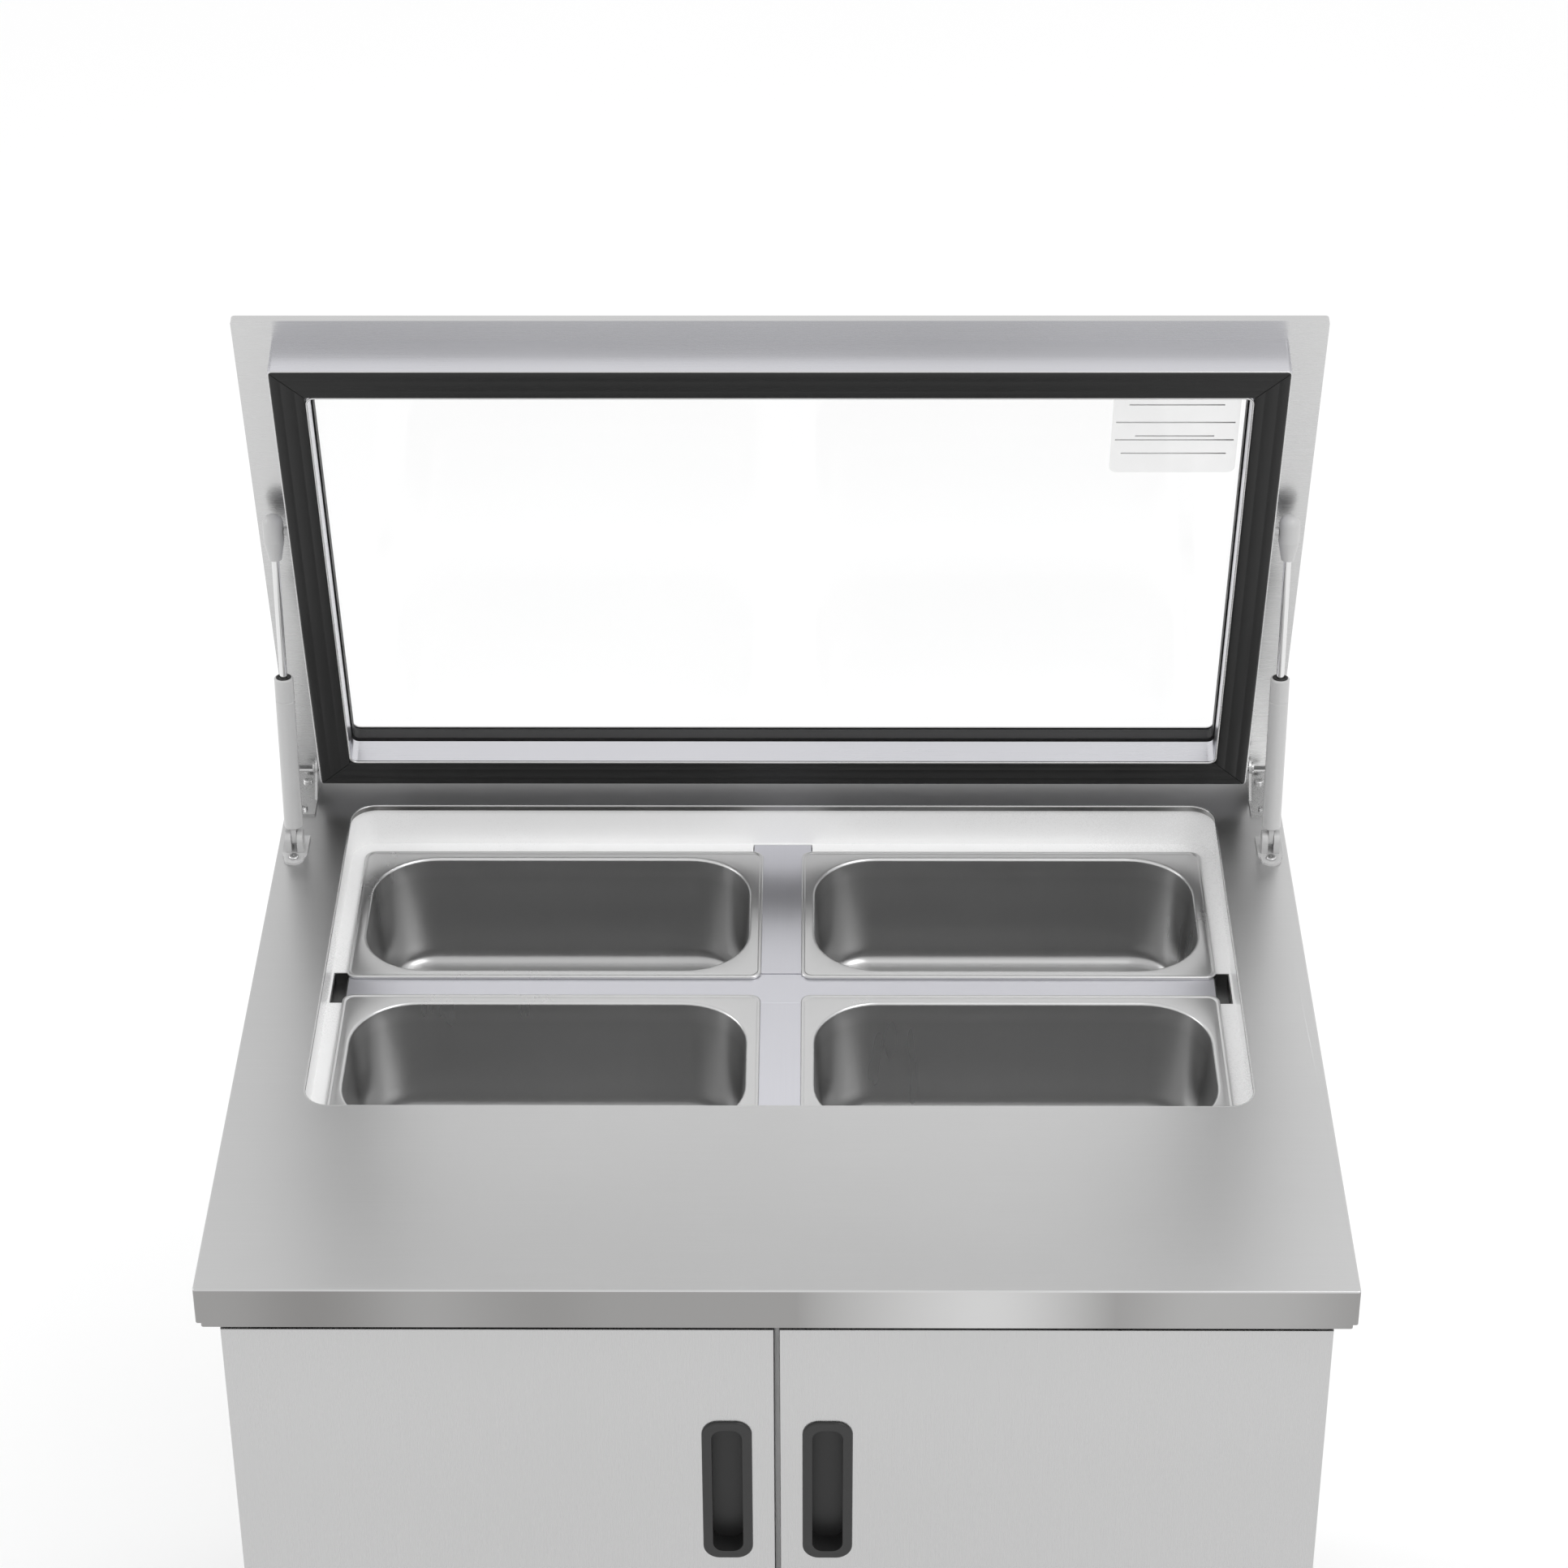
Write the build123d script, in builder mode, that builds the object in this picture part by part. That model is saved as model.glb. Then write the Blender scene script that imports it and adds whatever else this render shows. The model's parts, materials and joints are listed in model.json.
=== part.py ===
from build123d import *
import os
from math import atan2, cos, degrees, hypot, radians, sin

# A refrigerated sandwich prep table: a stainless worktop with a cold well of four food pans
# under a hinged, double-glazed lid on gas struts, over a two-door refrigerated cabinet.
# Millimetres. The origin is on the floor under the middle of the worktop; +X is to the right,
# +Y to the back and +Z up. The model is drawn with the lid open and the doors shut.

# ---- Worktop
TOP_DEPTH = 700.0
TOP_HEIGHT = 860.0
SIDE_DECK = 54.3        # opening to the worktop's side edge
REAR_DECK = 89.0        # opening to the worktop's back edge
TOP_THICKNESS = 70.0    # worktop down to the cold room's ceiling
SHEET = 1.2
FASCIA = 30.0
HEM_INSET = 3.0
HEM_DROP = 6.0
HEM_LIP = 11.0

# ---- Well: the opening in the worktop and the white collar that lines it
WELL_RADIUS = 20.0
WELL_LIP = 4.0          # sheet turned down round the opening
COLLAR_SETBACK = 1.5
COLLAR_WALL = 3.0
LEDGE_DROP = 38.6       # worktop down to the ledge that the pans hang on

# ---- Food pans, third size
PAN_LENGTH = 325.0
PAN_WIDTH = 176.0
PAN_HEIGHT = 100.0
PAN_RIM_SIDE = 10.5     # flat rim beside the pan's mouth
PAN_SHEET = 0.8
PAN_RIM_EDGE = 2.6      # rim turned down to stand on the ledge
PAN_MOUTH_RADIUS = 50.0
PAN_TAPER = 4.0
PAN_FLOOR_RADIUS = 14.0
PAN_GAP_X = 31.2
PAN_GAP_Y = 23.2
PAN_SIDE_GAP = 10.1     # rim to the well's side
PAN_END_GAP = 12.9      # rim to the well's front and back
PAN_TO_LEDGE = 2.6      # pan's body to the ledge's edge
PAN_TO_BAR = 2.5        # pan's body to a support bar
BAR_HEIGHT = 12.0
BAR_SHEET = 1.5
BAR_FOLD = 1.5          # radius along a bar's upper edges
BAR_CLEARANCE = 0.5
BAR_SEAT = 5.5          # end of the crossbar that lies in its notch

# ---- Lid
LID_OPEN = 75.0
LID_BAND = 26.0         # gasket band between the window and the box's side
LID_BOX_DEPTH = 35.0
LID_SKIN_DEPTH = 6.0
LID_MARGIN = 19.5       # skin beyond the box at the front and back
LID_SHEET = 1.0
HINGE_RISE = 20.3       # hinge axis above the worktop
LID_CLEARANCE = 0.5     # closed gasket above the worktop
GASKET = 3.0
GASKET_LIP = 1.5
WINDOW_WALL = 24.4      # gasket face up to the inner pane
PANE = 3.0
PANE_OVERLAP = 8.0
PIN_RADIUS = 3.0
PIN_HEAD = 1.5
RUNNING_CLEARANCE = 0.05
EAR_GAP = 3.3           # box's side to the bracket's ear
EAR_RADIUS = 9.0
EAR_FOOT = 14.0         # slope of the ear's front edge
PLATE_BACK = 8.5
PLATE_FRONT = 26.0

# ---- Gas struts
STRUT_SIDE = 13.8       # box's side to the strut's line
FOOT_SETBACK = 91.6     # strut foot in front of the hinge axis
FOOT_RISE = 12.0
BALL_REACH = 273.0      # ball stud along the lid from the hinge axis
BALL_DROP = 2.4         # ball stud towards the gasket face from the hinge axis
TUBE_RADIUS = 7.5
TUBE_START = 11.0
TUBE_END = 145.0
TUBE_BORE = 6.0
TUBE_GROOVE = 20.0      # rolled ring below the tube's open end
ROD_RADIUS = 3.0
ROD_INSIDE = 33.0       # rod left in the tube when the lid is open
ROD_SEAT = 6.0          # rod's end inside the socket
BUSH = 6.0
PISTON = 8.0
SOCKET_BELOW = 24.0
SOCKET_ABOVE = 6.1
SOCKET_RADIUS = 8.0
SOCKET_NECK = 5.0
TANG = 4.0
FOOT_SLOT = 4.6
BARREL_RADIUS = 7.0
FOOT_PIN = 2.5
STUD_RADIUS = 3.5
STUD_DISC = 9.0
STUD_GAP = 0.3          # stud's end to the socket

# ---- Screws
SCREW_RADIUS = 2.0
SCREW_HEAD_RADIUS = 4.0
SCREW_HEAD = 2.2
SCREW_DEPTH = 8.0
SCREW_PITCH = 41.0      # between the two screws of a hinge bracket
SCREW_SETBACK = 6.4     # a bracket's rear screw behind the hinge axis
FOOT_SCREW = 14.0       # a strut foot's screw in front of its barrel
BRACKET_SHEET = 2.0
BRACKET_SIDE = 10.5     # bracket beyond the strut's line

# ---- Cabinet
BODY_INSET = 15.0       # worktop's side edge in to the cabinet's side
BODY_SETBACK = 60.0     # worktop's front edge back to the door frame
BODY_BACK = 15.0        # worktop's back edge to the cabinet's back
BODY_SHEET = 1.0
FEET = 100.0
FOOT_INSET = 45.0
FOOT_PAD = 24.0
FOOT_PAD_HEIGHT = 8.0
FOOT_STEM = 9.0
FOOT_NUT = 19.0
FOOT_NUT_HEIGHT = 30.0
TRAY_EDGE = 16.0        # upturned edge of the base tray
BAY_SHEET = 1.5
BAY_CLEARANCE = 24.5    # compressor to the machine bay's ceiling
WALL = 40.0
LINER = 1.0
FLOOR_WALL = 30.0
FRAME_DEPTH = 20.0
MULLION = 60.0
DOOR_GAP = 4.0
DOOR_TOP_GAP = 8.0
DOOR_FACE = 10.0        # worktop's front edge back to the door's face
DOOR_DEPTH = 38.0
DOOR_SKIN = 1.0
DOOR_GASKET_INSET = 14.0
DOOR_GASKET_BAND = 14.0
DOOR_SEAL_CLEARANCE = 0.5
DOOR_PIN_RADIUS = 4.0
DOOR_PIN_X = 12.0       # door pin in from the door's edge
DOOR_PIN_Y = 18.0       # door pin behind the door's face
DOOR_PIN_REACH = 12.0
DOOR_PANEL_INSET = (40.0, 45.0)     # door's sides and ends to its sunken inner panel
DOOR_PANEL_DEPTH = 4.0
CUP_WIDTH = 26.0
CUP_HEIGHT = 120.0
CUP_DEPTH = 16.0
CUP_WALL = 2.0
CUP_INSET = 34.0        # free edge of the door to the middle of its grip
CUP_RISE = 120.0        # middle of the door up to the middle of its grip
HINGE_PLATE = 3.0
HINGE_PLATE_GAP = 1.0

# ---- Machine bay: grilles, inlet and controls
LOUVRE_PITCH = 16.0
LOUVRE_HEIGHT = 6.0
LOUVRE_GAP = 30.0       # between columns of louvres
LOUVRE_EDGE = 25.0      # panel's side to the first louvre
LOUVRE_RIM = 24.0       # panel's top and bottom to the nearest louvre
LOUVRE_TO_CONTROLS = 55.0
VENT_INSET = 130.0      # cabinet's side to the rear opening
VENT_RIM = 30.0         # bay's floor and ceiling to the rear opening
VENT_PITCH = 14.0
VENT_COLUMNS = 4
VENT_SHEET = 1.5
VENT_BORDER = 20.0      # rear opening's side to the first slot
VENT_MARGIN = 13.0      # rear opening's top and bottom to the nearest slot row
VENT_BRIDGE = 20.0      # metal between two slots in a row
VENT_LAP = 10.0         # rear grille past the opening
INLET_INSET = 70.0
INLET_RISE = 80.0
INLET_SIZE = (30.0, 24.0)
INLET_DEPTH = 24.0
INLET_FLANGE = 3.0
INLET_LAP = (9.0, 3.0)
INLET_RIM = 3.0
INLET_PIN_STEP = 7.0
CONTROL_INSET = 115.0
CONTROL_RISE = 95.0
CONTROL_SIZE = (150.0, 70.0)
CONTROL_SPREAD = 40.0   # middle of the bezel to the knob and to the rocker
BEZEL = 3.0
ROCKER_SIZE = (18.0, 26.0)
ROCKER_GAP = 1.0
ROCKER_TILT = 8.0
ROCKER_PIN = 1.2
KNOB_RADIUS = 16.0
SPINDLE = 3.0

# ---- Shelf
SHELF_DROP = 60.0       # evaporator cover down to the shelf
SHELF_GAP = 12.0        # room's side to the shelf
WIRE = 2.0
FRAME_WIRE = 3.0
CLIP_CLEARANCE = 0.3
SHELF_FRONT = 16.0      # room's front to the shelf
SHELF_REAR = 60.0       # room's back to the shelf

# ---- Refrigeration
COMPRESSOR_RADIUS = 65.0
COMPRESSOR_HEIGHT = 132.0
COMPRESSOR_FEET = 12.0
COMPRESSOR_DOME = 38.0
COMPRESSOR_BELLY = 10.0
COMPRESSOR_SEAM = 60.0              # compressor's foot to its weld seam
COMPRESSOR_PLATE = 4.0
COMPRESSOR_INSET = (160.0, 145.0)   # cabinet's left side and back to the compressor's middle
COMPRESSOR_STUBS = 92.0             # bay's floor up to the stub pipes
CONDENSER_STEP = 290.0              # compressor to the condenser
CONDENSER_WIDTH = 240.0
COIL_DEPTH = 36.0
COIL_PIPE = 4.0
SHROUD_LIFT = 10.5                  # bay's floor to the fan shroud
SHROUD_WIDTH = 150.0
SHROUD_CLEARANCE = 28.5             # shroud's height below the bay's
SHROUD_DEPTH = 24.0
SHROUD_SPIDER = 8.0                 # width of the arms that carry the fan's motor
SHROUD_RIM = 10.0                   # fan's tip to the shroud's edge
FAN_STEP = 42.0                     # condenser to its fan
DRIER_STEP = 38.0
DRIER_RADIUS = 11.0
DRIER_LENGTH = 64.0
DRIER_REACH = 80.0                  # drier with its end stubs
DRIER_BACK = 186.0                  # condenser to the drier
DRIER_DROP = 40.0                   # stub pipes down to the drier
LINE_SETBACK = 40.0                 # shell's back to the rising lines
LINE_OUT = (60.0, 40.0)             # compressor's stubs out to the two bends
LINE_RADIUS = 3.0
LINE_BEND = 18.0
EVAPORATOR_X = -80.0
EVAPORATOR_WIDTH = 200.0
COVER_HALF = 200.0
COVER_HEIGHT = 160.0
COVER_DEPTH = 58.0
COVER_SHEET = 2.0
COVER_CLEARANCE = 24.0              # pans down to the evaporator cover
ROOM_FAN_X = 115.0

# ---- Places worked out from the sizes above
WELL_WIDTH = 2 * PAN_LENGTH + PAN_GAP_X + 2 * PAN_SIDE_GAP
WELL_DEPTH = 2 * PAN_WIDTH + PAN_GAP_Y + 2 * PAN_END_GAP
LEDGE_WIDTH = PAN_SIDE_GAP + PAN_RIM_SIDE - PAN_TO_LEDGE
BAR_OVERLAP = PAN_RIM_SIDE - PAN_TO_BAR
TOP_WIDTH = WELL_WIDTH + 2 * SIDE_DECK
FRONT = -TOP_DEPTH / 2
UNDERSIDE = TOP_HEIGHT - SHEET
FASCIA_BOTTOM = TOP_HEIGHT - FASCIA
CORE_BOTTOM = FASCIA_BOTTOM + SHEET
WELL_Y = TOP_DEPTH / 2 - REAR_DECK - WELL_DEPTH / 2
LEDGE_Z = TOP_HEIGHT - LEDGE_DROP
THROAT_BOTTOM = TOP_HEIGHT - TOP_THICKNESS
COLLAR_GROWTH = 2 * (COLLAR_SETBACK + COLLAR_WALL)
THROAT_WIDTH = WELL_WIDTH - 2 * LEDGE_WIDTH
THROAT_DEPTH = WELL_DEPTH - 2 * LEDGE_WIDTH
BAR_BOTTOM = LEDGE_Z - BAR_HEIGHT
CROSSBAR_DEPTH = PAN_GAP_Y + 2 * BAR_OVERLAP
DIVIDER_WIDTH = PAN_GAP_X + 2 * BAR_OVERLAP
BODY_FRONT = FRONT + BODY_SETBACK
BODY_REAR = TOP_DEPTH / 2 - BODY_BACK
SHELL_FRONT = BODY_FRONT + FRAME_DEPTH
BODY_HALF = TOP_WIDTH / 2 - BODY_INSET
SHELL_HALF = BODY_HALF - BODY_SHEET
SHELL_REAR = BODY_REAR - BODY_SHEET
ROOM_HALF = BODY_HALF - WALL
ROOM_REAR = BODY_REAR - WALL
BAY_FLOOR = FEET + BAY_SHEET
BAY_TOP = BAY_FLOOR + COMPRESSOR_FEET + COMPRESSOR_HEIGHT + BAY_CLEARANCE
ROOM_FLOOR = BAY_TOP + FLOOR_WALL

HINGE_Y = WELL_Y + WELL_DEPTH / 2 + LID_BAND
HINGE_Z = TOP_HEIGHT + HINGE_RISE
BOX_WIDTH = WELL_WIDTH + 2 * LID_BAND
BOX_LENGTH = WELL_DEPTH + 2 * LID_BAND
BOX_HALF = BOX_WIDTH / 2
STRUT_X = BOX_HALF + STRUT_SIDE
FACE_W = HINGE_RISE - LID_CLEARANCE
BAND_W = FACE_W - GASKET
FLANGE_W = FACE_W - LID_BOX_DEPTH
SKIN_W = FLANGE_W - LID_SKIN_DEPTH
GLASS_W = FACE_W - WINDOW_WALL
tilt = radians(LID_OPEN)

# The lid's plane: local x is X, local y runs from the hinge to the lid's free edge, and local
# z points out of the gasket face.
lid_plane = Plane(origin=(0, HINGE_Y, HINGE_Z), x_dir=(1, 0, 0), z_dir=(0, -sin(tilt), -cos(tilt)))
LID_MIDDLE = BOX_LENGTH / 2

FOOT_Y = HINGE_Y - FOOT_SETBACK
FOOT_Z = TOP_HEIGHT + FOOT_RISE
ball_y = HINGE_Y - BALL_REACH * cos(tilt) - BALL_DROP * sin(tilt)
ball_z = HINGE_Z + BALL_REACH * sin(tilt) - BALL_DROP * cos(tilt)
strut_open = hypot(ball_y - FOOT_Y, ball_z - FOOT_Z)
closed_dy = HINGE_Y - BALL_REACH - FOOT_Y
closed_dz = HINGE_Z - BALL_DROP - FOOT_Z
strut_closed = hypot(closed_dy, closed_dz)
strut_turn = degrees(atan2(closed_dz, closed_dy) - atan2(ball_z - FOOT_Z, ball_y - FOOT_Y))
print(f"strut turns {strut_turn / LID_OPEN:.5f} per lid, slides "
      f"{(strut_open - strut_closed) / 1000 / tilt:.6f} m/rad")
print(f"strut axis at rest 0 {(ball_y - FOOT_Y) / strut_open:.6f} {(ball_z - FOOT_Z) / strut_open:.6f}")

bracket_screw_y = [HINGE_Y + SCREW_SETBACK - SCREW_PITCH, HINGE_Y + SCREW_SETBACK]
foot_screw_y = FOOT_Y - FOOT_SCREW
screw_places = [(side * STRUT_X, y) for side in (-1, 1) for y in (*bracket_screw_y, foot_screw_y)]

os.makedirs("parts", exist_ok=True)


def block(x, y, z, mode=Mode.ADD):
    """A box between two limits along each axis."""
    with Locations(((x[0] + x[1]) / 2, (y[0] + y[1]) / 2, (z[0] + z[1]) / 2)):
        Box(x[1] - x[0], y[1] - y[0], z[1] - z[0], mode=mode)


def slab(size, centre, z, radius, plane=Plane.XY, mode=Mode.ADD):
    """A prism with a rounded rectangular outline, between two heights over a plane."""
    with BuildSketch(plane.offset(z[0])) as outline:
        with Locations(centre):
            RectangleRounded(size[0], size[1], radius)
    extrude(outline.sketch, amount=z[1] - z[0], mode=mode)


def lid_slab(width, length, w, radius, mode=Mode.ADD):
    """A rounded prism centred on the lid's box, between two heights over the lid's plane."""
    slab((width, length), (0, LID_MIDDLE), w, radius, lid_plane, mode)


def well_slab(grow, z, radius=WELL_RADIUS, mode=Mode.ADD):
    """A rounded prism centred on the well and larger than its opening by grow."""
    slab((WELL_WIDTH + grow, WELL_DEPTH + grow), (0, WELL_Y), z, radius, mode=mode)


def cut_bar_notches():
    """Cut the notches that the ends of the support bars sit in."""
    notch_y = CROSSBAR_DEPTH / 2 + BAR_CLEARANCE
    notch_x = DIVIDER_WIDTH / 2 + BAR_CLEARANCE
    block((-WELL_WIDTH / 2, WELL_WIDTH / 2), (WELL_Y - notch_y, WELL_Y + notch_y),
          (BAR_BOTTOM, LEDGE_Z), Mode.SUBTRACT)
    block((-notch_x, notch_x), (WELL_Y - WELL_DEPTH / 2, WELL_Y + WELL_DEPTH / 2),
          (BAR_BOTTOM, LEDGE_Z), Mode.SUBTRACT)


# ---- Worktop: one folded sheet with a fascia, a stepped hem and a lip round the opening
with BuildPart() as worktop:
    slab((TOP_WIDTH, TOP_DEPTH), (0, 0), (FASCIA_BOTTOM, TOP_HEIGHT), 2.0)
    fillet(worktop.faces().sort_by(Axis.Z)[-1].edges(), 1.0)
    slab((TOP_WIDTH - 2 * SHEET, TOP_DEPTH - 2 * SHEET), (0, 0), (CORE_BOTTOM, UNDERSIDE), 1.0,
         mode=Mode.SUBTRACT)
    hem_width = TOP_WIDTH - 2 * HEM_INSET
    hem_depth = TOP_DEPTH - 2 * HEM_INSET
    slab((hem_width, hem_depth), (0, 0), (FASCIA_BOTTOM - HEM_DROP, CORE_BOTTOM), 2.0)
    slab((hem_width - 2 * SHEET, hem_depth - 2 * SHEET), (0, 0),
         (FASCIA_BOTTOM - HEM_DROP + SHEET, CORE_BOTTOM), 1.0, mode=Mode.SUBTRACT)
    slab((hem_width - 2 * HEM_LIP, hem_depth - 2 * HEM_LIP), (0, 0),
         (FASCIA_BOTTOM - HEM_DROP, FASCIA_BOTTOM), 1.0, mode=Mode.SUBTRACT)
    well_slab(2 * SHEET, (UNDERSIDE - WELL_LIP, UNDERSIDE), WELL_RADIUS + SHEET)
    well_slab(0, (UNDERSIDE - WELL_LIP, TOP_HEIGHT), mode=Mode.SUBTRACT)
    with Locations(*[(x, y, UNDERSIDE) for x, y in screw_places]):
        Cylinder(SCREW_RADIUS, 4 * SHEET, mode=Mode.SUBTRACT)
worktop.part.label = "worktop"
export_step(worktop.part, "parts/worktop.step")

# ---- Worktop core: the insulated board under the sheet, down to the cold room
with BuildPart() as worktop_core:
    slab((TOP_WIDTH - 2 * SHEET, TOP_DEPTH - 2 * SHEET), (0, 0), (CORE_BOTTOM, UNDERSIDE), 1.0)
    block((-BODY_HALF + BODY_SHEET, BODY_HALF - BODY_SHEET),
          (SHELL_FRONT, BODY_REAR - BODY_SHEET), (THROAT_BOTTOM, CORE_BOTTOM))
    well_slab(COLLAR_GROWTH, (LEDGE_Z - COLLAR_WALL, UNDERSIDE), mode=Mode.SUBTRACT)
    slab((THROAT_WIDTH + 2 * COLLAR_WALL, THROAT_DEPTH + 2 * COLLAR_WALL), (0, WELL_Y),
         (THROAT_BOTTOM, LEDGE_Z), WELL_RADIUS, mode=Mode.SUBTRACT)
    cut_bar_notches()
    with Locations(*[(x, y, UNDERSIDE) for x, y in screw_places]):
        Cylinder(SCREW_RADIUS, 2 * (SCREW_DEPTH - SHEET), mode=Mode.SUBTRACT)
worktop_core.part.label = "worktop_core"
export_step(worktop_core.part, "parts/worktop_core.step")

# ---- Well collar: white liner with a ledge, a throat and notches for the support bars
with BuildPart() as well_collar:
    well_slab(COLLAR_GROWTH, (LEDGE_Z - COLLAR_WALL, UNDERSIDE))
    slab((THROAT_WIDTH + 2 * COLLAR_WALL, THROAT_DEPTH + 2 * COLLAR_WALL), (0, WELL_Y),
         (THROAT_BOTTOM, LEDGE_Z), WELL_RADIUS)
    well_slab(2 * COLLAR_SETBACK, (LEDGE_Z, UNDERSIDE), mode=Mode.SUBTRACT)
    slab((THROAT_WIDTH, THROAT_DEPTH), (0, WELL_Y), (THROAT_BOTTOM, LEDGE_Z),
         WELL_RADIUS - COLLAR_WALL, mode=Mode.SUBTRACT)
    cut_bar_notches()
    lip_inner = WELL_RADIUS + SHEET
    well_slab(2 * SHEET, (UNDERSIDE - WELL_LIP, UNDERSIDE), lip_inner, Mode.SUBTRACT)
well_collar.part.label = "well_collar"
export_step(well_collar.part, "parts/well_collar.step")

# ---- Support bars: channels, open below, that carry the pans' inner rims
with BuildPart() as crossbar:
    bar_half = THROAT_WIDTH / 2 + BAR_SEAT
    bar_y = (WELL_Y - CROSSBAR_DEPTH / 2, WELL_Y + CROSSBAR_DEPTH / 2)
    block((-bar_half, bar_half), bar_y, (BAR_BOTTOM, LEDGE_Z))
    fillet(crossbar.edges().filter_by(Axis.X).group_by(Axis.Z)[-1], BAR_FOLD)
    block((-bar_half, bar_half), (bar_y[0] + BAR_SHEET, bar_y[1] - BAR_SHEET),
          (BAR_BOTTOM, LEDGE_Z - BAR_SHEET), Mode.SUBTRACT)
crossbar.part.label = "crossbar"
export_step(crossbar.part, "parts/crossbar.step")

for row, towards in (("front", -1), ("rear", 1)):
    near = WELL_Y + towards * CROSSBAR_DEPTH / 2
    far = WELL_Y + towards * (WELL_DEPTH / 2 - BAR_CLEARANCE)
    ends = (min(near, far), max(near, far))
    with BuildPart() as divider:
        block((-DIVIDER_WIDTH / 2, DIVIDER_WIDTH / 2), ends, (BAR_BOTTOM, LEDGE_Z))
        fillet(divider.edges().filter_by(Axis.Y).group_by(Axis.Z)[-1], BAR_FOLD)
        block((-DIVIDER_WIDTH / 2 + BAR_SHEET, DIVIDER_WIDTH / 2 - BAR_SHEET), ends,
              (BAR_BOTTOM, LEDGE_Z - BAR_SHEET), Mode.SUBTRACT)
    divider.part.label = f"{row}_divider"
    export_step(divider.part, f"parts/{divider.part.label}.step")

# ---- Food pans: drawn sheet with a flat rim, a turned-down edge and a wide-cornered mouth
rim_top = LEDGE_Z + PAN_RIM_EDGE
mouth_length = PAN_LENGTH - 2 * PAN_RIM_SIDE
mouth_width = PAN_WIDTH - 2 * PAN_RIM_SIDE
for row, towards in (("front", -1), ("rear", 1)):
    for side, across in (("left", -1), ("right", 1)):
        pan_x = across * (PAN_LENGTH + PAN_GAP_X) / 2
        pan_y = WELL_Y + towards * (PAN_WIDTH + PAN_GAP_Y) / 2
        with BuildPart() as pan:
            slab((PAN_LENGTH, PAN_WIDTH), (pan_x, pan_y), (LEDGE_Z, rim_top), 8.0)
            slab((PAN_LENGTH - 2 * PAN_SHEET, PAN_WIDTH - 2 * PAN_SHEET), (pan_x, pan_y),
                 (LEDGE_Z, rim_top - PAN_SHEET), 7.2, mode=Mode.SUBTRACT)
            with BuildSketch(Plane.XY.offset(rim_top)):
                with Locations((pan_x, pan_y)):
                    RectangleRounded(mouth_length, mouth_width, PAN_MOUTH_RADIUS)
            extrude(amount=-PAN_HEIGHT, taper=PAN_TAPER)
            fillet(pan.faces().sort_by(Axis.Z)[0].edges(), PAN_FLOOR_RADIUS)
            with BuildPart(mode=Mode.PRIVATE) as room:
                with BuildSketch(Plane.XY.offset(rim_top)):
                    with Locations((pan_x, pan_y)):
                        RectangleRounded(mouth_length - 2 * PAN_SHEET, mouth_width - 2 * PAN_SHEET,
                                         PAN_MOUTH_RADIUS - PAN_SHEET)
                extrude(amount=PAN_SHEET - PAN_HEIGHT, taper=PAN_TAPER)
                fillet(room.faces().sort_by(Axis.Z)[0].edges(), PAN_FLOOR_RADIUS - PAN_SHEET)
            add(room.part, mode=Mode.SUBTRACT)
        pan.part.label = f"{row}_{side}_pan"
        export_step(pan.part, f"parts/{pan.part.label}.step")

# ---- Lid skin: a folded tray round the window, open below where the box stands
with BuildPart() as lid_skin:
    skin_length = BOX_LENGTH + 2 * LID_MARGIN
    lid_slab(TOP_WIDTH, skin_length, (SKIN_W, FLANGE_W), 3.0)
    lid_slab(TOP_WIDTH - 2 * LID_SHEET, skin_length - 2 * LID_SHEET,
             (SKIN_W + LID_SHEET, FLANGE_W - LID_SHEET), 2.0, Mode.SUBTRACT)
    lid_slab(BOX_WIDTH, BOX_LENGTH, (SKIN_W + LID_SHEET, FLANGE_W), 3.0, Mode.SUBTRACT)
    lid_slab(WELL_WIDTH, WELL_DEPTH, (SKIN_W, FLANGE_W), 6.0, Mode.SUBTRACT)
lid_skin.part.label = "lid_skin"
export_step(lid_skin.part, "parts/lid_skin.step")

# ---- Lid frame: the box's sides, gasket band and window wall, folded from one sheet
pane_top = SKIN_W + LID_SHEET
with BuildPart() as lid_frame:
    inner_width = BOX_WIDTH - 2 * LID_SHEET
    inner_length = BOX_LENGTH - 2 * LID_SHEET
    lid_slab(BOX_WIDTH, BOX_LENGTH, (pane_top, BAND_W + GASKET_LIP), 3.0)
    lid_slab(inner_width, inner_length, (pane_top, BAND_W - LID_SHEET), 2.0, Mode.SUBTRACT)
    lid_slab(inner_width, inner_length, (BAND_W, BAND_W + GASKET_LIP), 2.0, Mode.SUBTRACT)
    lid_slab(WELL_WIDTH + 2 * LID_SHEET, WELL_DEPTH + 2 * LID_SHEET,
             (GLASS_W, BAND_W - LID_SHEET), 7.0)
    lid_slab(WELL_WIDTH, WELL_DEPTH, (pane_top, BAND_W), 6.0, Mode.SUBTRACT)
lid_frame.part.label = "lid_frame"
export_step(lid_frame.part, "parts/lid_frame.step")

# ---- Lid gasket: a soft black band between the frame's raised lip and the window
with BuildPart() as lid_gasket:
    lid_slab(inner_width, inner_length, (BAND_W, FACE_W), 2.0)
    lid_slab(WELL_WIDTH, WELL_DEPTH, (BAND_W, FACE_W), 6.0, Mode.SUBTRACT)
lid_gasket.part.label = "lid_gasket"
export_step(lid_gasket.part, "parts/lid_gasket.step")

# ---- Double glazing: two panes held apart by a black spacer
pane_width = WELL_WIDTH + 2 * PANE_OVERLAP
pane_length = WELL_DEPTH + 2 * PANE_OVERLAP
with BuildPart() as lid_inner_pane:
    lid_slab(pane_width, pane_length, (GLASS_W - PANE, GLASS_W), 4.0)
lid_inner_pane.part.label = "lid_inner_pane"
export_step(lid_inner_pane.part, "parts/lid_inner_pane.step")

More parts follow.
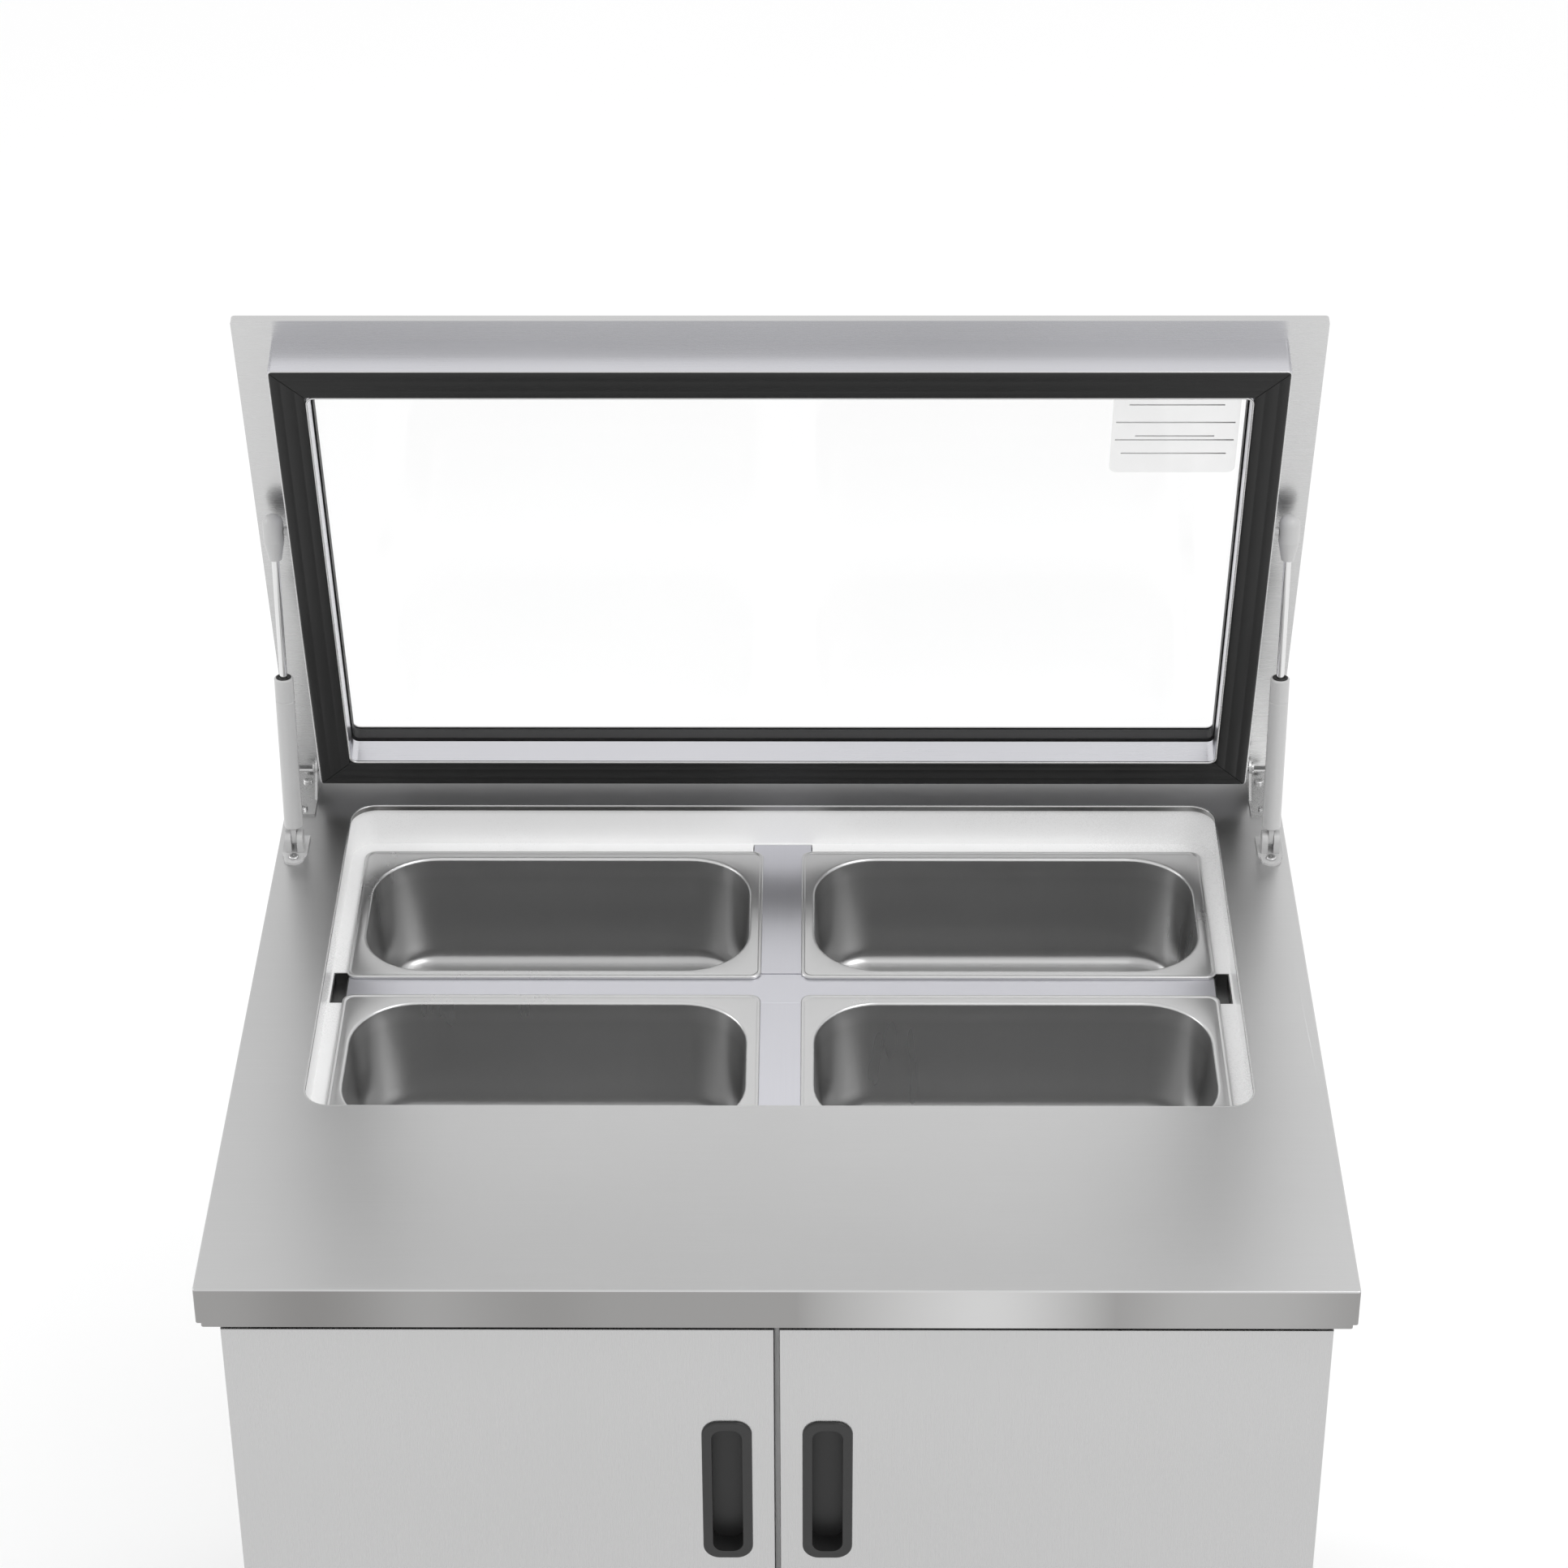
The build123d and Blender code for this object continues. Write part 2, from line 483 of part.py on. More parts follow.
with BuildPart() as lid_outer_pane:
    lid_slab(pane_width, pane_length, (pane_top, pane_top + PANE), 4.0)
lid_outer_pane.part.label = "lid_outer_pane"
export_step(lid_outer_pane.part, "parts/lid_outer_pane.step")

with BuildPart() as lid_glass_spacer:
    lid_slab(pane_width, pane_length, (pane_top + PANE, GLASS_W - PANE), 4.0)
    lid_slab(WELL_WIDTH - 2.0, WELL_DEPTH - 2.0, (pane_top + PANE, GLASS_W - PANE), 5.0,
             Mode.SUBTRACT)
lid_glass_spacer.part.label = "lid_glass_spacer"
export_step(lid_glass_spacer.part, "parts/lid_glass_spacer.step")

# ---- Lid insulation: foam that fills the box round the glazing
with BuildPart() as lid_insulation:
    lid_slab(inner_width, inner_length, (pane_top, BAND_W - LID_SHEET), 2.0)
    lid_slab(pane_width, pane_length, (pane_top, GLASS_W), 4.0, Mode.SUBTRACT)
    lid_slab(WELL_WIDTH + 2 * LID_SHEET, WELL_DEPTH + 2 * LID_SHEET,
             (GLASS_W, BAND_W - LID_SHEET), 7.0, Mode.SUBTRACT)
lid_insulation.part.label = "lid_insulation"
export_step(lid_insulation.part, "parts/lid_insulation.step")

# ---- Lid hinges: a plate with a headed pin on each side of the box, in an ear on the worktop
with BuildPart() as lid_hinge_plates:
    for side in (-1, 1):
        with BuildSketch(Plane.YZ.offset(side * BOX_HALF)) as outline:
            with Locations((HINGE_Y, HINGE_Z)):
                Circle(PLATE_BACK)
                with Locations(Rotation(0, 0, 180 - LID_OPEN)):
                    Rectangle(PLATE_FRONT, 2 * PLATE_BACK, align=(Align.MIN, Align.CENTER))
        extrude(outline.sketch, amount=side * BRACKET_SHEET)
        pin_start = Plane((side * BOX_HALF, HINGE_Y, HINGE_Z), z_dir=(side, 0, 0))
        shank = EAR_GAP + BRACKET_SHEET + 1.0
        with BuildSketch(pin_start) as outline:
            Circle(PIN_RADIUS)
        extrude(outline.sketch, amount=shank)
        with BuildSketch(pin_start.offset(shank)) as outline:
            Circle(PIN_RADIUS + PIN_HEAD)
        extrude(outline.sketch, amount=PIN_HEAD)
lid_hinge_plates.part.label = "lid_hinge_plates"
export_step(lid_hinge_plates.part, "parts/lid_hinge_plates.step")

ear_inner = BOX_HALF + EAR_GAP
with BuildPart() as hinge_brackets:
    for side in (-1, 1):
        plate_x = sorted((side * ear_inner, side * (STRUT_X + BRACKET_SIDE)))
        plate_y = (bracket_screw_y[0] - 8.0, bracket_screw_y[1] + 10.0)
        base = (TOP_HEIGHT, TOP_HEIGHT + BRACKET_SHEET)
        block(plate_x, plate_y, base)
        block(plate_x, (plate_y[1] - BRACKET_SHEET, plate_y[1]), (TOP_HEIGHT, TOP_HEIGHT + 6.0))
        with BuildSketch(Plane.YZ.offset(side * ear_inner)) as outline:
            with BuildLine():
                Polyline((HINGE_Y - EAR_RADIUS, HINGE_Z), (HINGE_Y - EAR_RADIUS - EAR_FOOT, TOP_HEIGHT),
                         (HINGE_Y + EAR_RADIUS, TOP_HEIGHT), (HINGE_Y + EAR_RADIUS, HINGE_Z))
                ThreePointArc((HINGE_Y + EAR_RADIUS, HINGE_Z), (HINGE_Y, HINGE_Z + EAR_RADIUS),
                              (HINGE_Y - EAR_RADIUS, HINGE_Z))
            make_face()
            with Locations((HINGE_Y, HINGE_Z)):
                Circle(PIN_RADIUS + RUNNING_CLEARANCE, mode=Mode.SUBTRACT)
        extrude(outline.sketch, amount=side * BRACKET_SHEET)
        with Locations(*[(side * STRUT_X, y, TOP_HEIGHT) for y in bracket_screw_y]):
            Cylinder(SCREW_RADIUS, 4 * BRACKET_SHEET, mode=Mode.SUBTRACT)
hinge_brackets.part.label = "hinge_brackets"
export_step(hinge_brackets.part, "parts/hinge_brackets.step")

# ---- Screws that hold the brackets and strut feet down: pan heads with a cross recess
with BuildPart() as top_screws:
    for x, y in screw_places:
        with Locations((x, y, TOP_HEIGHT + BRACKET_SHEET)):
            Cylinder(SCREW_HEAD_RADIUS, SCREW_HEAD, align=(Align.CENTER, Align.CENTER, Align.MIN))
            Cylinder(SCREW_RADIUS, SCREW_DEPTH + BRACKET_SHEET,
                     align=(Align.CENTER, Align.CENTER, Align.MAX))
    fillet(top_screws.faces().group_by(Axis.Z)[-1].edges(), 1.0)
    with Locations(*[(x, y, TOP_HEIGHT + BRACKET_SHEET + SCREW_HEAD) for x, y in screw_places]):
        Box(4.4, 0.9, 2.4, mode=Mode.SUBTRACT)
        Box(0.9, 4.4, 2.4, mode=Mode.SUBTRACT)
top_screws.part.label = "top_screws"
export_step(top_screws.part, "parts/top_screws.step")

# ---- Strut studs: a disc and a short shank on each side of the lid's box
STUD_END = STRUT_X - SOCKET_RADIUS - STUD_GAP
with BuildPart() as lid_strut_studs:
    for side in (-1, 1):
        stud_start = Plane((side * BOX_HALF, ball_y, ball_z), z_dir=(side, 0, 0))
        with BuildSketch(stud_start) as outline:
            Circle(STUD_DISC)
        extrude(outline.sketch, amount=BRACKET_SHEET)
        with BuildSketch(stud_start.offset(BRACKET_SHEET)) as outline:
            Circle(STUD_RADIUS)
        extrude(outline.sketch, amount=STUD_END - BOX_HALF - BRACKET_SHEET)
lid_strut_studs.part.label = "lid_strut_studs"
export_step(lid_strut_studs.part, "parts/lid_strut_studs.step")

# ---- Strut feet: a teardrop plate with a slotted barrel, and the pin across the slot
with BuildPart() as strut_feet:
    for side in (-1, 1):
        with BuildSketch(Plane.XY.offset(TOP_HEIGHT)) as outline:
            with Locations((side * STRUT_X, FOOT_Y + 6.0)):
                Rectangle(20.0, 24.0)
            with Locations((side * STRUT_X, FOOT_Y - 6.0)):
                Circle(10.0)
            with Locations((side * STRUT_X, foot_screw_y)):
                Circle(8.0)
        extrude(outline.sketch, amount=BRACKET_SHEET)
        with BuildSketch(Plane.YZ.offset(side * STRUT_X - BARREL_RADIUS)) as outline:
            with Locations((FOOT_Y, FOOT_Z)):
                Circle(BARREL_RADIUS)
            with Locations((FOOT_Y, TOP_HEIGHT)):
                Rectangle(2 * BARREL_RADIUS, FOOT_RISE, align=(Align.CENTER, Align.MIN))
        extrude(outline.sketch, amount=2 * BARREL_RADIUS)
        block((side * STRUT_X - FOOT_SLOT / 2, side * STRUT_X + FOOT_SLOT / 2),
              (FOOT_Y - 10.0, FOOT_Y + 10.0), (TOP_HEIGHT + BRACKET_SHEET, FOOT_Z + 10.0),
              Mode.SUBTRACT)
        with BuildSketch(Plane.YZ.offset(side * STRUT_X - BARREL_RADIUS)) as outline:
            with Locations((FOOT_Y, FOOT_Z)):
                Circle(FOOT_PIN)
        extrude(outline.sketch, amount=2 * BARREL_RADIUS)
        with Locations((side * STRUT_X, foot_screw_y, TOP_HEIGHT)):
            Cylinder(SCREW_RADIUS, 4 * BRACKET_SHEET, mode=Mode.SUBTRACT)
strut_feet.part.label = "strut_feet"
export_step(strut_feet.part, "parts/strut_feet.step")

# ---- Gas struts: cylinder with a flat tang, chromed rod with its piston, and end socket
for side, across in (("left", -1), ("right", 1)):
    strut_plane = Plane((across * STRUT_X, FOOT_Y, FOOT_Z), x_dir=(1, 0, 0),
                        z_dir=(0, ball_y - FOOT_Y, ball_z - FOOT_Z))
    with BuildPart(strut_plane) as tube:
        with Locations((0, 0, TUBE_START)):
            Cylinder(TUBE_RADIUS, TUBE_END - TUBE_START, align=(Align.CENTER, Align.CENTER, Align.MIN))
        fillet(tube.edges().filter_by(GeomType.CIRCLE), 1.2)
        with Locations((0, 0, 0)):
            Box(TANG, 10.0, TUBE_START + 1.0, align=(Align.CENTER, Align.CENTER, Align.MIN))
            Cylinder(5.0, TANG, rotation=(0, 90, 0))
            Cylinder(FOOT_PIN + RUNNING_CLEARANCE, 2 * TANG, rotation=(0, 90, 0), mode=Mode.SUBTRACT)
        with Locations((0, 0, TUBE_START + 5.0)):
            Cylinder(TUBE_BORE, TUBE_END - BUSH - TUBE_START - 5.0,
                     align=(Align.CENTER, Align.CENTER, Align.MIN), mode=Mode.SUBTRACT)
        with Locations((0, 0, TUBE_END)):
            Cylinder(ROD_RADIUS + RUNNING_CLEARANCE, 3 * BUSH, mode=Mode.SUBTRACT)
        with Locations((0, 0, TUBE_END - TUBE_GROOVE)):
            Torus(TUBE_RADIUS + 0.3, 0.6, mode=Mode.SUBTRACT)
    tube.part.label = f"{side}_strut_tube"
    export_step(tube.part, f"parts/{tube.part.label}.step")

    rod_end = strut_open - SOCKET_BELOW
    with BuildPart(strut_plane) as rod:
        with Locations((0, 0, TUBE_END - ROD_INSIDE)):
            Cylinder(ROD_RADIUS, rod_end + ROD_SEAT - TUBE_END + ROD_INSIDE,
                     align=(Align.CENTER, Align.CENTER, Align.MIN))
            Cylinder(TUBE_BORE - 0.1, PISTON, align=(Align.CENTER, Align.CENTER, Align.MIN))
    rod.part.label = f"{side}_strut_rod"
    export_step(rod.part, f"parts/{rod.part.label}.step")

    dome = strut_open + SOCKET_ABOVE
    dome_turn = SOCKET_RADIUS * sin(radians(45))
    with BuildPart() as socket:
        with BuildSketch(Plane(strut_plane.origin, x_dir=(1, 0, 0),
                               z_dir=-strut_plane.y_dir)) as outline:
            with BuildLine():
                Polyline((0, dome + SOCKET_RADIUS), (0, rod_end), (SOCKET_NECK, rod_end),
                         (SOCKET_RADIUS, strut_open - SOCKET_RADIUS), (SOCKET_RADIUS, dome))
                ThreePointArc((SOCKET_RADIUS, dome), (dome_turn, dome + dome_turn),
                              (0, dome + SOCKET_RADIUS))
            make_face()
        revolve(axis=Axis(strut_plane.origin, strut_plane.z_dir))
        add(rod.part, mode=Mode.SUBTRACT)
    socket.part.label = f"{side}_strut_socket"
    export_step(socket.part, f"parts/{socket.part.label}.step")

# ---- Cabinet shell: folded sides and back, with the machine bay's ceiling
VENT_HALF = BODY_HALF - VENT_INSET
VENT_BOTTOM = FEET + VENT_RIM
VENT_TOP = BAY_TOP - VENT_RIM
INLET_X = BODY_HALF - INLET_INSET
INLET_Z = FEET + INLET_RISE
with BuildPart() as cabinet_shell:
    block((-BODY_HALF, BODY_HALF), (SHELL_FRONT, BODY_REAR), (BAY_FLOOR, CORE_BOTTOM))
    block((-SHELL_HALF, SHELL_HALF), (SHELL_FRONT, SHELL_REAR), (BAY_FLOOR, CORE_BOTTOM),
          Mode.SUBTRACT)
    block((-SHELL_HALF, SHELL_HALF), (BODY_FRONT, SHELL_REAR), (BAY_TOP, BAY_TOP + BODY_SHEET))
    block((-VENT_HALF, VENT_HALF), (SHELL_REAR, BODY_REAR), (VENT_BOTTOM, VENT_TOP), Mode.SUBTRACT)
    with Locations((INLET_X, BODY_REAR, INLET_Z)):
        Box(INLET_SIZE[0], 4 * BODY_SHEET, INLET_SIZE[1], mode=Mode.SUBTRACT)
cabinet_shell.part.label = "cabinet_shell"
export_step(cabinet_shell.part, "parts/cabinet_shell.step")

# ---- Foam and liner of the cold room
with BuildPart() as cabinet_insulation:
    block((-SHELL_HALF, SHELL_HALF), (SHELL_FRONT, SHELL_REAR), (BAY_TOP + BODY_SHEET, THROAT_BOTTOM))
    block((-ROOM_HALF - LINER, ROOM_HALF + LINER), (SHELL_FRONT, ROOM_REAR + LINER),
          (ROOM_FLOOR - LINER, THROAT_BOTTOM), Mode.SUBTRACT)
cabinet_insulation.part.label = "cabinet_insulation"
export_step(cabinet_insulation.part, "parts/cabinet_insulation.step")

with BuildPart() as inner_liner:
    block((-ROOM_HALF - LINER, ROOM_HALF + LINER), (SHELL_FRONT, ROOM_REAR + LINER),
          (ROOM_FLOOR - LINER, THROAT_BOTTOM))
    block((-ROOM_HALF, ROOM_HALF), (SHELL_FRONT, ROOM_REAR), (ROOM_FLOOR, THROAT_BOTTOM),
          Mode.SUBTRACT)
inner_liner.part.label = "inner_liner"
export_step(inner_liner.part, "parts/inner_liner.step")

# ---- Door frame: the front ring and mullion that the door gaskets close on
FRAME_BOTTOM = BAY_TOP + BODY_SHEET
with BuildPart() as front_frame:
    block((-BODY_HALF, BODY_HALF), (BODY_FRONT, SHELL_FRONT), (FRAME_BOTTOM, CORE_BOTTOM))
    for side in (-1, 1):
        doorway = sorted((side * MULLION / 2, side * ROOM_HALF))
        block(doorway, (BODY_FRONT, SHELL_FRONT), (ROOM_FLOOR, THROAT_BOTTOM), Mode.SUBTRACT)
front_frame.part.label = "front_frame"
export_step(front_frame.part, "parts/front_frame.step")

# ---- Base tray of the machine bay, with upturned edges inside the shell
with BuildPart() as base_tray:
    block((-BODY_HALF, BODY_HALF), (SHELL_FRONT, BODY_REAR), (FEET, BAY_FLOOR))
    block((-SHELL_HALF, SHELL_HALF), (SHELL_FRONT, SHELL_REAR), (BAY_FLOOR, BAY_FLOOR + TRAY_EDGE))
    block((-SHELL_HALF + BAY_SHEET, SHELL_HALF - BAY_SHEET), (SHELL_FRONT, SHELL_REAR - BAY_SHEET),
          (BAY_FLOOR, BAY_FLOOR + TRAY_EDGE), Mode.SUBTRACT)
base_tray.part.label = "base_tray"
export_step(base_tray.part, "parts/base_tray.step")

# ---- Levelling feet: a swivel pad, a threaded stem and a hexagon nut each
with BuildPart() as levelling_feet:
    corners = [(x, y) for x in (-BODY_HALF + FOOT_INSET, BODY_HALF - FOOT_INSET)
               for y in (SHELL_FRONT + FOOT_INSET - 15.0, BODY_REAR - FOOT_INSET)]
    with Locations(*corners):
        Cylinder(FOOT_PAD, FOOT_PAD_HEIGHT, align=(Align.CENTER, Align.CENTER, Align.MIN))
    with Locations(*[(x, y, FOOT_PAD_HEIGHT) for x, y in corners]):
        Cone(FOOT_PAD, FOOT_PAD / 2, 10.0, align=(Align.CENTER, Align.CENTER, Align.MIN))
        Cylinder(FOOT_STEM, FEET - FOOT_PAD_HEIGHT, align=(Align.CENTER, Align.CENTER, Align.MIN))
    with BuildSketch(Plane.XY.offset(FEET - FOOT_NUT_HEIGHT)) as outline:
        with Locations(*corners):
            RegularPolygon(FOOT_NUT, 6)
    extrude(outline.sketch, amount=FOOT_NUT_HEIGHT)
levelling_feet.part.label = "levelling_feet"
export_step(levelling_feet.part, "parts/levelling_feet.step")

# ---- Doors: steel skin, moulded and foamed inner, magnetic gasket and a recessed grip
DOOR_Y = FRONT + DOOR_FACE
DOOR_REAR = DOOR_Y + DOOR_DEPTH
DOOR_BOTTOM = BAY_TOP + DOOR_GAP + 2.0
DOOR_TOP = FASCIA_BOTTOM - HEM_DROP - DOOR_TOP_GAP
GASKET_REAR = BODY_FRONT - DOOR_SEAL_CLEARANCE
cup_z = (DOOR_TOP + DOOR_BOTTOM) / 2 + CUP_RISE
for side, across in (("left", -1), ("right", 1)):
    outer = across * BODY_HALF
    inner = across * DOOR_GAP / 2
    door_x = sorted((outer, inner))
    pin_x = outer - across * DOOR_PIN_X
    pin_y = DOOR_Y + DOOR_PIN_Y
    cup_x = inner + across * CUP_INSET
    skin_x = (door_x[0] + DOOR_SKIN, door_x[1] - DOOR_SKIN)
    skin_z = (DOOR_BOTTOM + DOOR_SKIN, DOOR_TOP - DOOR_SKIN)
    cup_plane = Plane((cup_x, DOOR_Y, cup_z), x_dir=(1, 0, 0), z_dir=(0, -1, 0))
    pin_ends = ((pin_x, pin_y, DOOR_BOTTOM), (pin_x, pin_y, DOOR_TOP))

    with BuildPart() as skin:
        block(door_x, (DOOR_Y, DOOR_REAR), (DOOR_BOTTOM, DOOR_TOP))
        fillet(skin.faces().sort_by(Axis.Y)[0].edges(), 0.9)
        block(skin_x, (DOOR_Y + DOOR_SKIN, DOOR_REAR), skin_z, Mode.SUBTRACT)
        with Locations(*pin_ends):
            Cylinder(DOOR_PIN_RADIUS + 1.0, 4 * DOOR_SKIN, mode=Mode.SUBTRACT)
        slab((CUP_WIDTH, CUP_HEIGHT), (0, 0), (-2 * DOOR_SKIN, DOOR_SKIN), 10.0, cup_plane,
             Mode.SUBTRACT)
    skin.part.label = f"{side}_door_skin"
    export_step(skin.part, f"parts/{skin.part.label}.step")

    with BuildPart() as inside:
        block(skin_x, (DOOR_Y + DOOR_SKIN, DOOR_REAR), skin_z)
        with Locations(*pin_ends):
            Cylinder(DOOR_PIN_RADIUS + RUNNING_CLEARANCE, 2 * (DOOR_PIN_REACH + 1.0),
                     mode=Mode.SUBTRACT)
        slab((CUP_WIDTH, CUP_HEIGHT), (0, 0), (-CUP_DEPTH, 0), 10.0, cup_plane, Mode.SUBTRACT)
        block((door_x[0] + DOOR_PANEL_INSET[0], door_x[1] - DOOR_PANEL_INSET[0]),
              (DOOR_REAR - DOOR_PANEL_DEPTH, DOOR_REAR),
              (DOOR_BOTTOM + DOOR_PANEL_INSET[1], DOOR_TOP - DOOR_PANEL_INSET[1]), Mode.SUBTRACT)
    inside.part.label = f"{side}_door_inner"
    export_step(inside.part, f"parts/{inside.part.label}.step")

    with BuildPart() as gasket:
        seal_plane = Plane((sum(door_x) / 2, DOOR_REAR, (DOOR_BOTTOM + DOOR_TOP) / 2),
                           x_dir=(-1, 0, 0), z_dir=(0, 1, 0))
        seal_width = door_x[1] - door_x[0] - 2 * DOOR_GASKET_INSET
        seal_height = DOOR_TOP - DOOR_BOTTOM - 2 * DOOR_GASKET_INSET
        seal_depth = GASKET_REAR - DOOR_REAR
        slab((seal_width, seal_height), (0, 0), (0, seal_depth), 4.0, seal_plane)
        slab((seal_width - 2 * DOOR_GASKET_BAND, seal_height - 2 * DOOR_GASKET_BAND), (0, 0),
             (0, seal_depth), 2.0, seal_plane, Mode.SUBTRACT)
    gasket.part.label = f"{side}_door_gasket"
    export_step(gasket.part, f"parts/{gasket.part.label}.step")

    with BuildPart() as grip:
        slab((CUP_WIDTH, CUP_HEIGHT), (0, 0), (-CUP_DEPTH, 0), 10.0, cup_plane)
        slab((CUP_WIDTH + 10.0, CUP_HEIGHT + 10.0), (0, 0), (0, 2.0), 12.0, cup_plane)
        fillet(grip.faces().sort_by(Axis.Y)[0].edges(), 1.2)
        slab((CUP_WIDTH - 2 * CUP_WALL, CUP_HEIGHT - 2 * CUP_WALL), (0, 0),
             (CUP_WALL - CUP_DEPTH, 2.0), 8.0, cup_plane, Mode.SUBTRACT)
    grip.part.label = f"{side}_door_grip"
    export_step(grip.part, f"parts/{grip.part.label}.step")

# ---- Door hinges: an angle plate and a pin above and below each door
with BuildPart() as door_hinges:
    for across in (-1, 1):
        pin_x = across * (BODY_HALF - DOOR_PIN_X)
        pin_y = DOOR_Y + DOOR_PIN_Y
        plate_x = sorted((across * BODY_HALF, pin_x - across * 9.0))
        plate_y = (pin_y - 9.0, BODY_FRONT)
        tab_x = sorted((across * BODY_HALF, across * (BODY_HALF - DOOR_GASKET_INSET + 1.0)))
        for edge, away in ((DOOR_BOTTOM, -1), (DOOR_TOP, 1)):
            plate_z = sorted((edge + away * HINGE_PLATE_GAP, edge + away * (HINGE_PLATE_GAP + HINGE_PLATE)))
            block(plate_x, plate_y, plate_z)
            tab_z = sorted((edge + away * (HINGE_PLATE_GAP + HINGE_PLATE), edge - away * 24.0))
            block(tab_x, (BODY_FRONT - 2.0, BODY_FRONT), tab_z)
            with Locations((pin_x, pin_y, edge + away * (HINGE_PLATE_GAP - DOOR_PIN_REACH) / 2)):
                Cylinder(DOOR_PIN_RADIUS, HINGE_PLATE_GAP + DOOR_PIN_REACH)
door_hinges.part.label = "door_hinges"
export_step(door_hinges.part, "parts/door_hinges.step")

# ---- Machine bay grille: a louvred front panel with room for the controls
GRILLE_BOTTOM = FEET + 8.0
GRILLE_TOP = BAY_TOP - 2.0
CONTROL_X = BODY_HALF - CONTROL_INSET
CONTROL_Z = FEET + CONTROL_RISE
louvre_left = LOUVRE_EDGE - BODY_HALF
louvre_right = CONTROL_X - CONTROL_SIZE[0] / 2 - LOUVRE_TO_CONTROLS
louvre_length = (louvre_right - louvre_left - 2 * LOUVRE_GAP) / 3
louvre_rows = 1 + int((GRILLE_TOP - GRILLE_BOTTOM - 2 * LOUVRE_RIM) // LOUVRE_PITCH)
louvres = [(louvre_left + louvre_length / 2 + column * (louvre_length + LOUVRE_GAP),
            GRILLE_BOTTOM + LOUVRE_RIM + LOUVRE_PITCH * row)
           for column in range(3) for row in range(louvre_rows)]
grille_front = Plane((0, DOOR_Y, 0), x_dir=(1, 0, 0), z_dir=(0, -1, 0))
with BuildPart() as front_grille:
    block((-BODY_HALF, BODY_HALF), (DOOR_Y, SHELL_FRONT), (GRILLE_BOTTOM, GRILLE_TOP))
    fillet(front_grille.faces().sort_by(Axis.Y)[0].edges(), 0.9)
    block((-BODY_HALF + BODY_SHEET, BODY_HALF - BODY_SHEET), (DOOR_Y + BODY_SHEET, SHELL_FRONT),
          (GRILLE_BOTTOM + BODY_SHEET, GRILLE_TOP - BODY_SHEET), Mode.SUBTRACT)
    block((-BODY_HALF + 15.0, BODY_HALF - 15.0), (DOOR_Y + 30.0, SHELL_FRONT),
          (GRILLE_BOTTOM, GRILLE_TOP), Mode.SUBTRACT)
    with BuildSketch(grille_front.offset(-2.0)) as outline:
        with Locations(*louvres):
            SlotOverall(louvre_length, LOUVRE_HEIGHT)
    extrude(outline.sketch, amount=4.0, mode=Mode.SUBTRACT)
    for x, z in louvres:
        with Locations((x, DOOR_Y + 4.5, z + 4.5)):
            Box(louvre_length, 10.0, BODY_SHEET, rotation=(-35, 0, 0))
    with BuildSketch(grille_front.offset(-2.0)) as outline:
        with Locations((CONTROL_X, CONTROL_Z)):
            RectangleRounded(CONTROL_SIZE[0] - 12.0, CONTROL_SIZE[1] - 12.0, 4.0)
    extrude(outline.sketch, amount=4.0, mode=Mode.SUBTRACT)
front_grille.part.label = "front_grille"
export_step(front_grille.part, "parts/front_grille.step")

# ---- Rear grille: a slotted cover over the bay's back opening
rear_face = Plane((0, BODY_REAR, 0), x_dir=(-1, 0, 0), z_dir=(0, 1, 0))
vent_step = 2 * (VENT_HALF - VENT_BORDER) / VENT_COLUMNS
vent_rows = 1 + int((VENT_TOP - VENT_BOTTOM - 2 * VENT_MARGIN) // VENT_PITCH)
with BuildPart() as rear_grille:
    slab((2 * (VENT_HALF + VENT_LAP), VENT_TOP - VENT_BOTTOM + 2 * VENT_LAP),
         (0, (VENT_TOP + VENT_BOTTOM) / 2), (0, VENT_SHEET), 4.0, rear_face)
    with BuildSketch(rear_face) as outline:
        with Locations((0, (VENT_TOP + VENT_BOTTOM) / 2)):
            with GridLocations(vent_step, VENT_PITCH, VENT_COLUMNS, vent_rows):
                SlotOverall(vent_step - VENT_BRIDGE, LOUVRE_HEIGHT)
    extrude(outline.sketch, amount=VENT_SHEET, mode=Mode.SUBTRACT)
rear_grille.part.label = "rear_grille"
export_step(rear_grille.part, "parts/rear_grille.step")

# ---- Power inlet in the shell's back: a flanged three-pin socket
with BuildPart() as power_inlet:
    with Locations((INLET_X, BODY_REAR - INLET_DEPTH / 2, INLET_Z)):
        Box(INLET_SIZE[0], INLET_DEPTH, INLET_SIZE[1])
    with Locations((INLET_X, BODY_REAR + INLET_FLANGE / 2, INLET_Z)):
        Box(INLET_SIZE[0] + 2 * INLET_LAP[0], INLET_FLANGE, INLET_SIZE[1] + 2 * INLET_LAP[1])
    with Locations((INLET_X, BODY_REAR - 6.0, INLET_Z)):
        Box(INLET_SIZE[0] - 2 * INLET_RIM, 20.0, INLET_SIZE[1] - 2 * INLET_RIM, mode=Mode.SUBTRACT)
    with Locations((INLET_X - INLET_PIN_STEP, BODY_REAR - 11.0, INLET_Z),
                   (INLET_X, BODY_REAR - 11.0, INLET_Z + 3.0),
                   (INLET_X + INLET_PIN_STEP, BODY_REAR - 11.0, INLET_Z)):
        Box(2.0, 12.0, 5.0)
power_inlet.part.label = "power_inlet"
export_step(power_inlet.part, "parts/power_inlet.step")

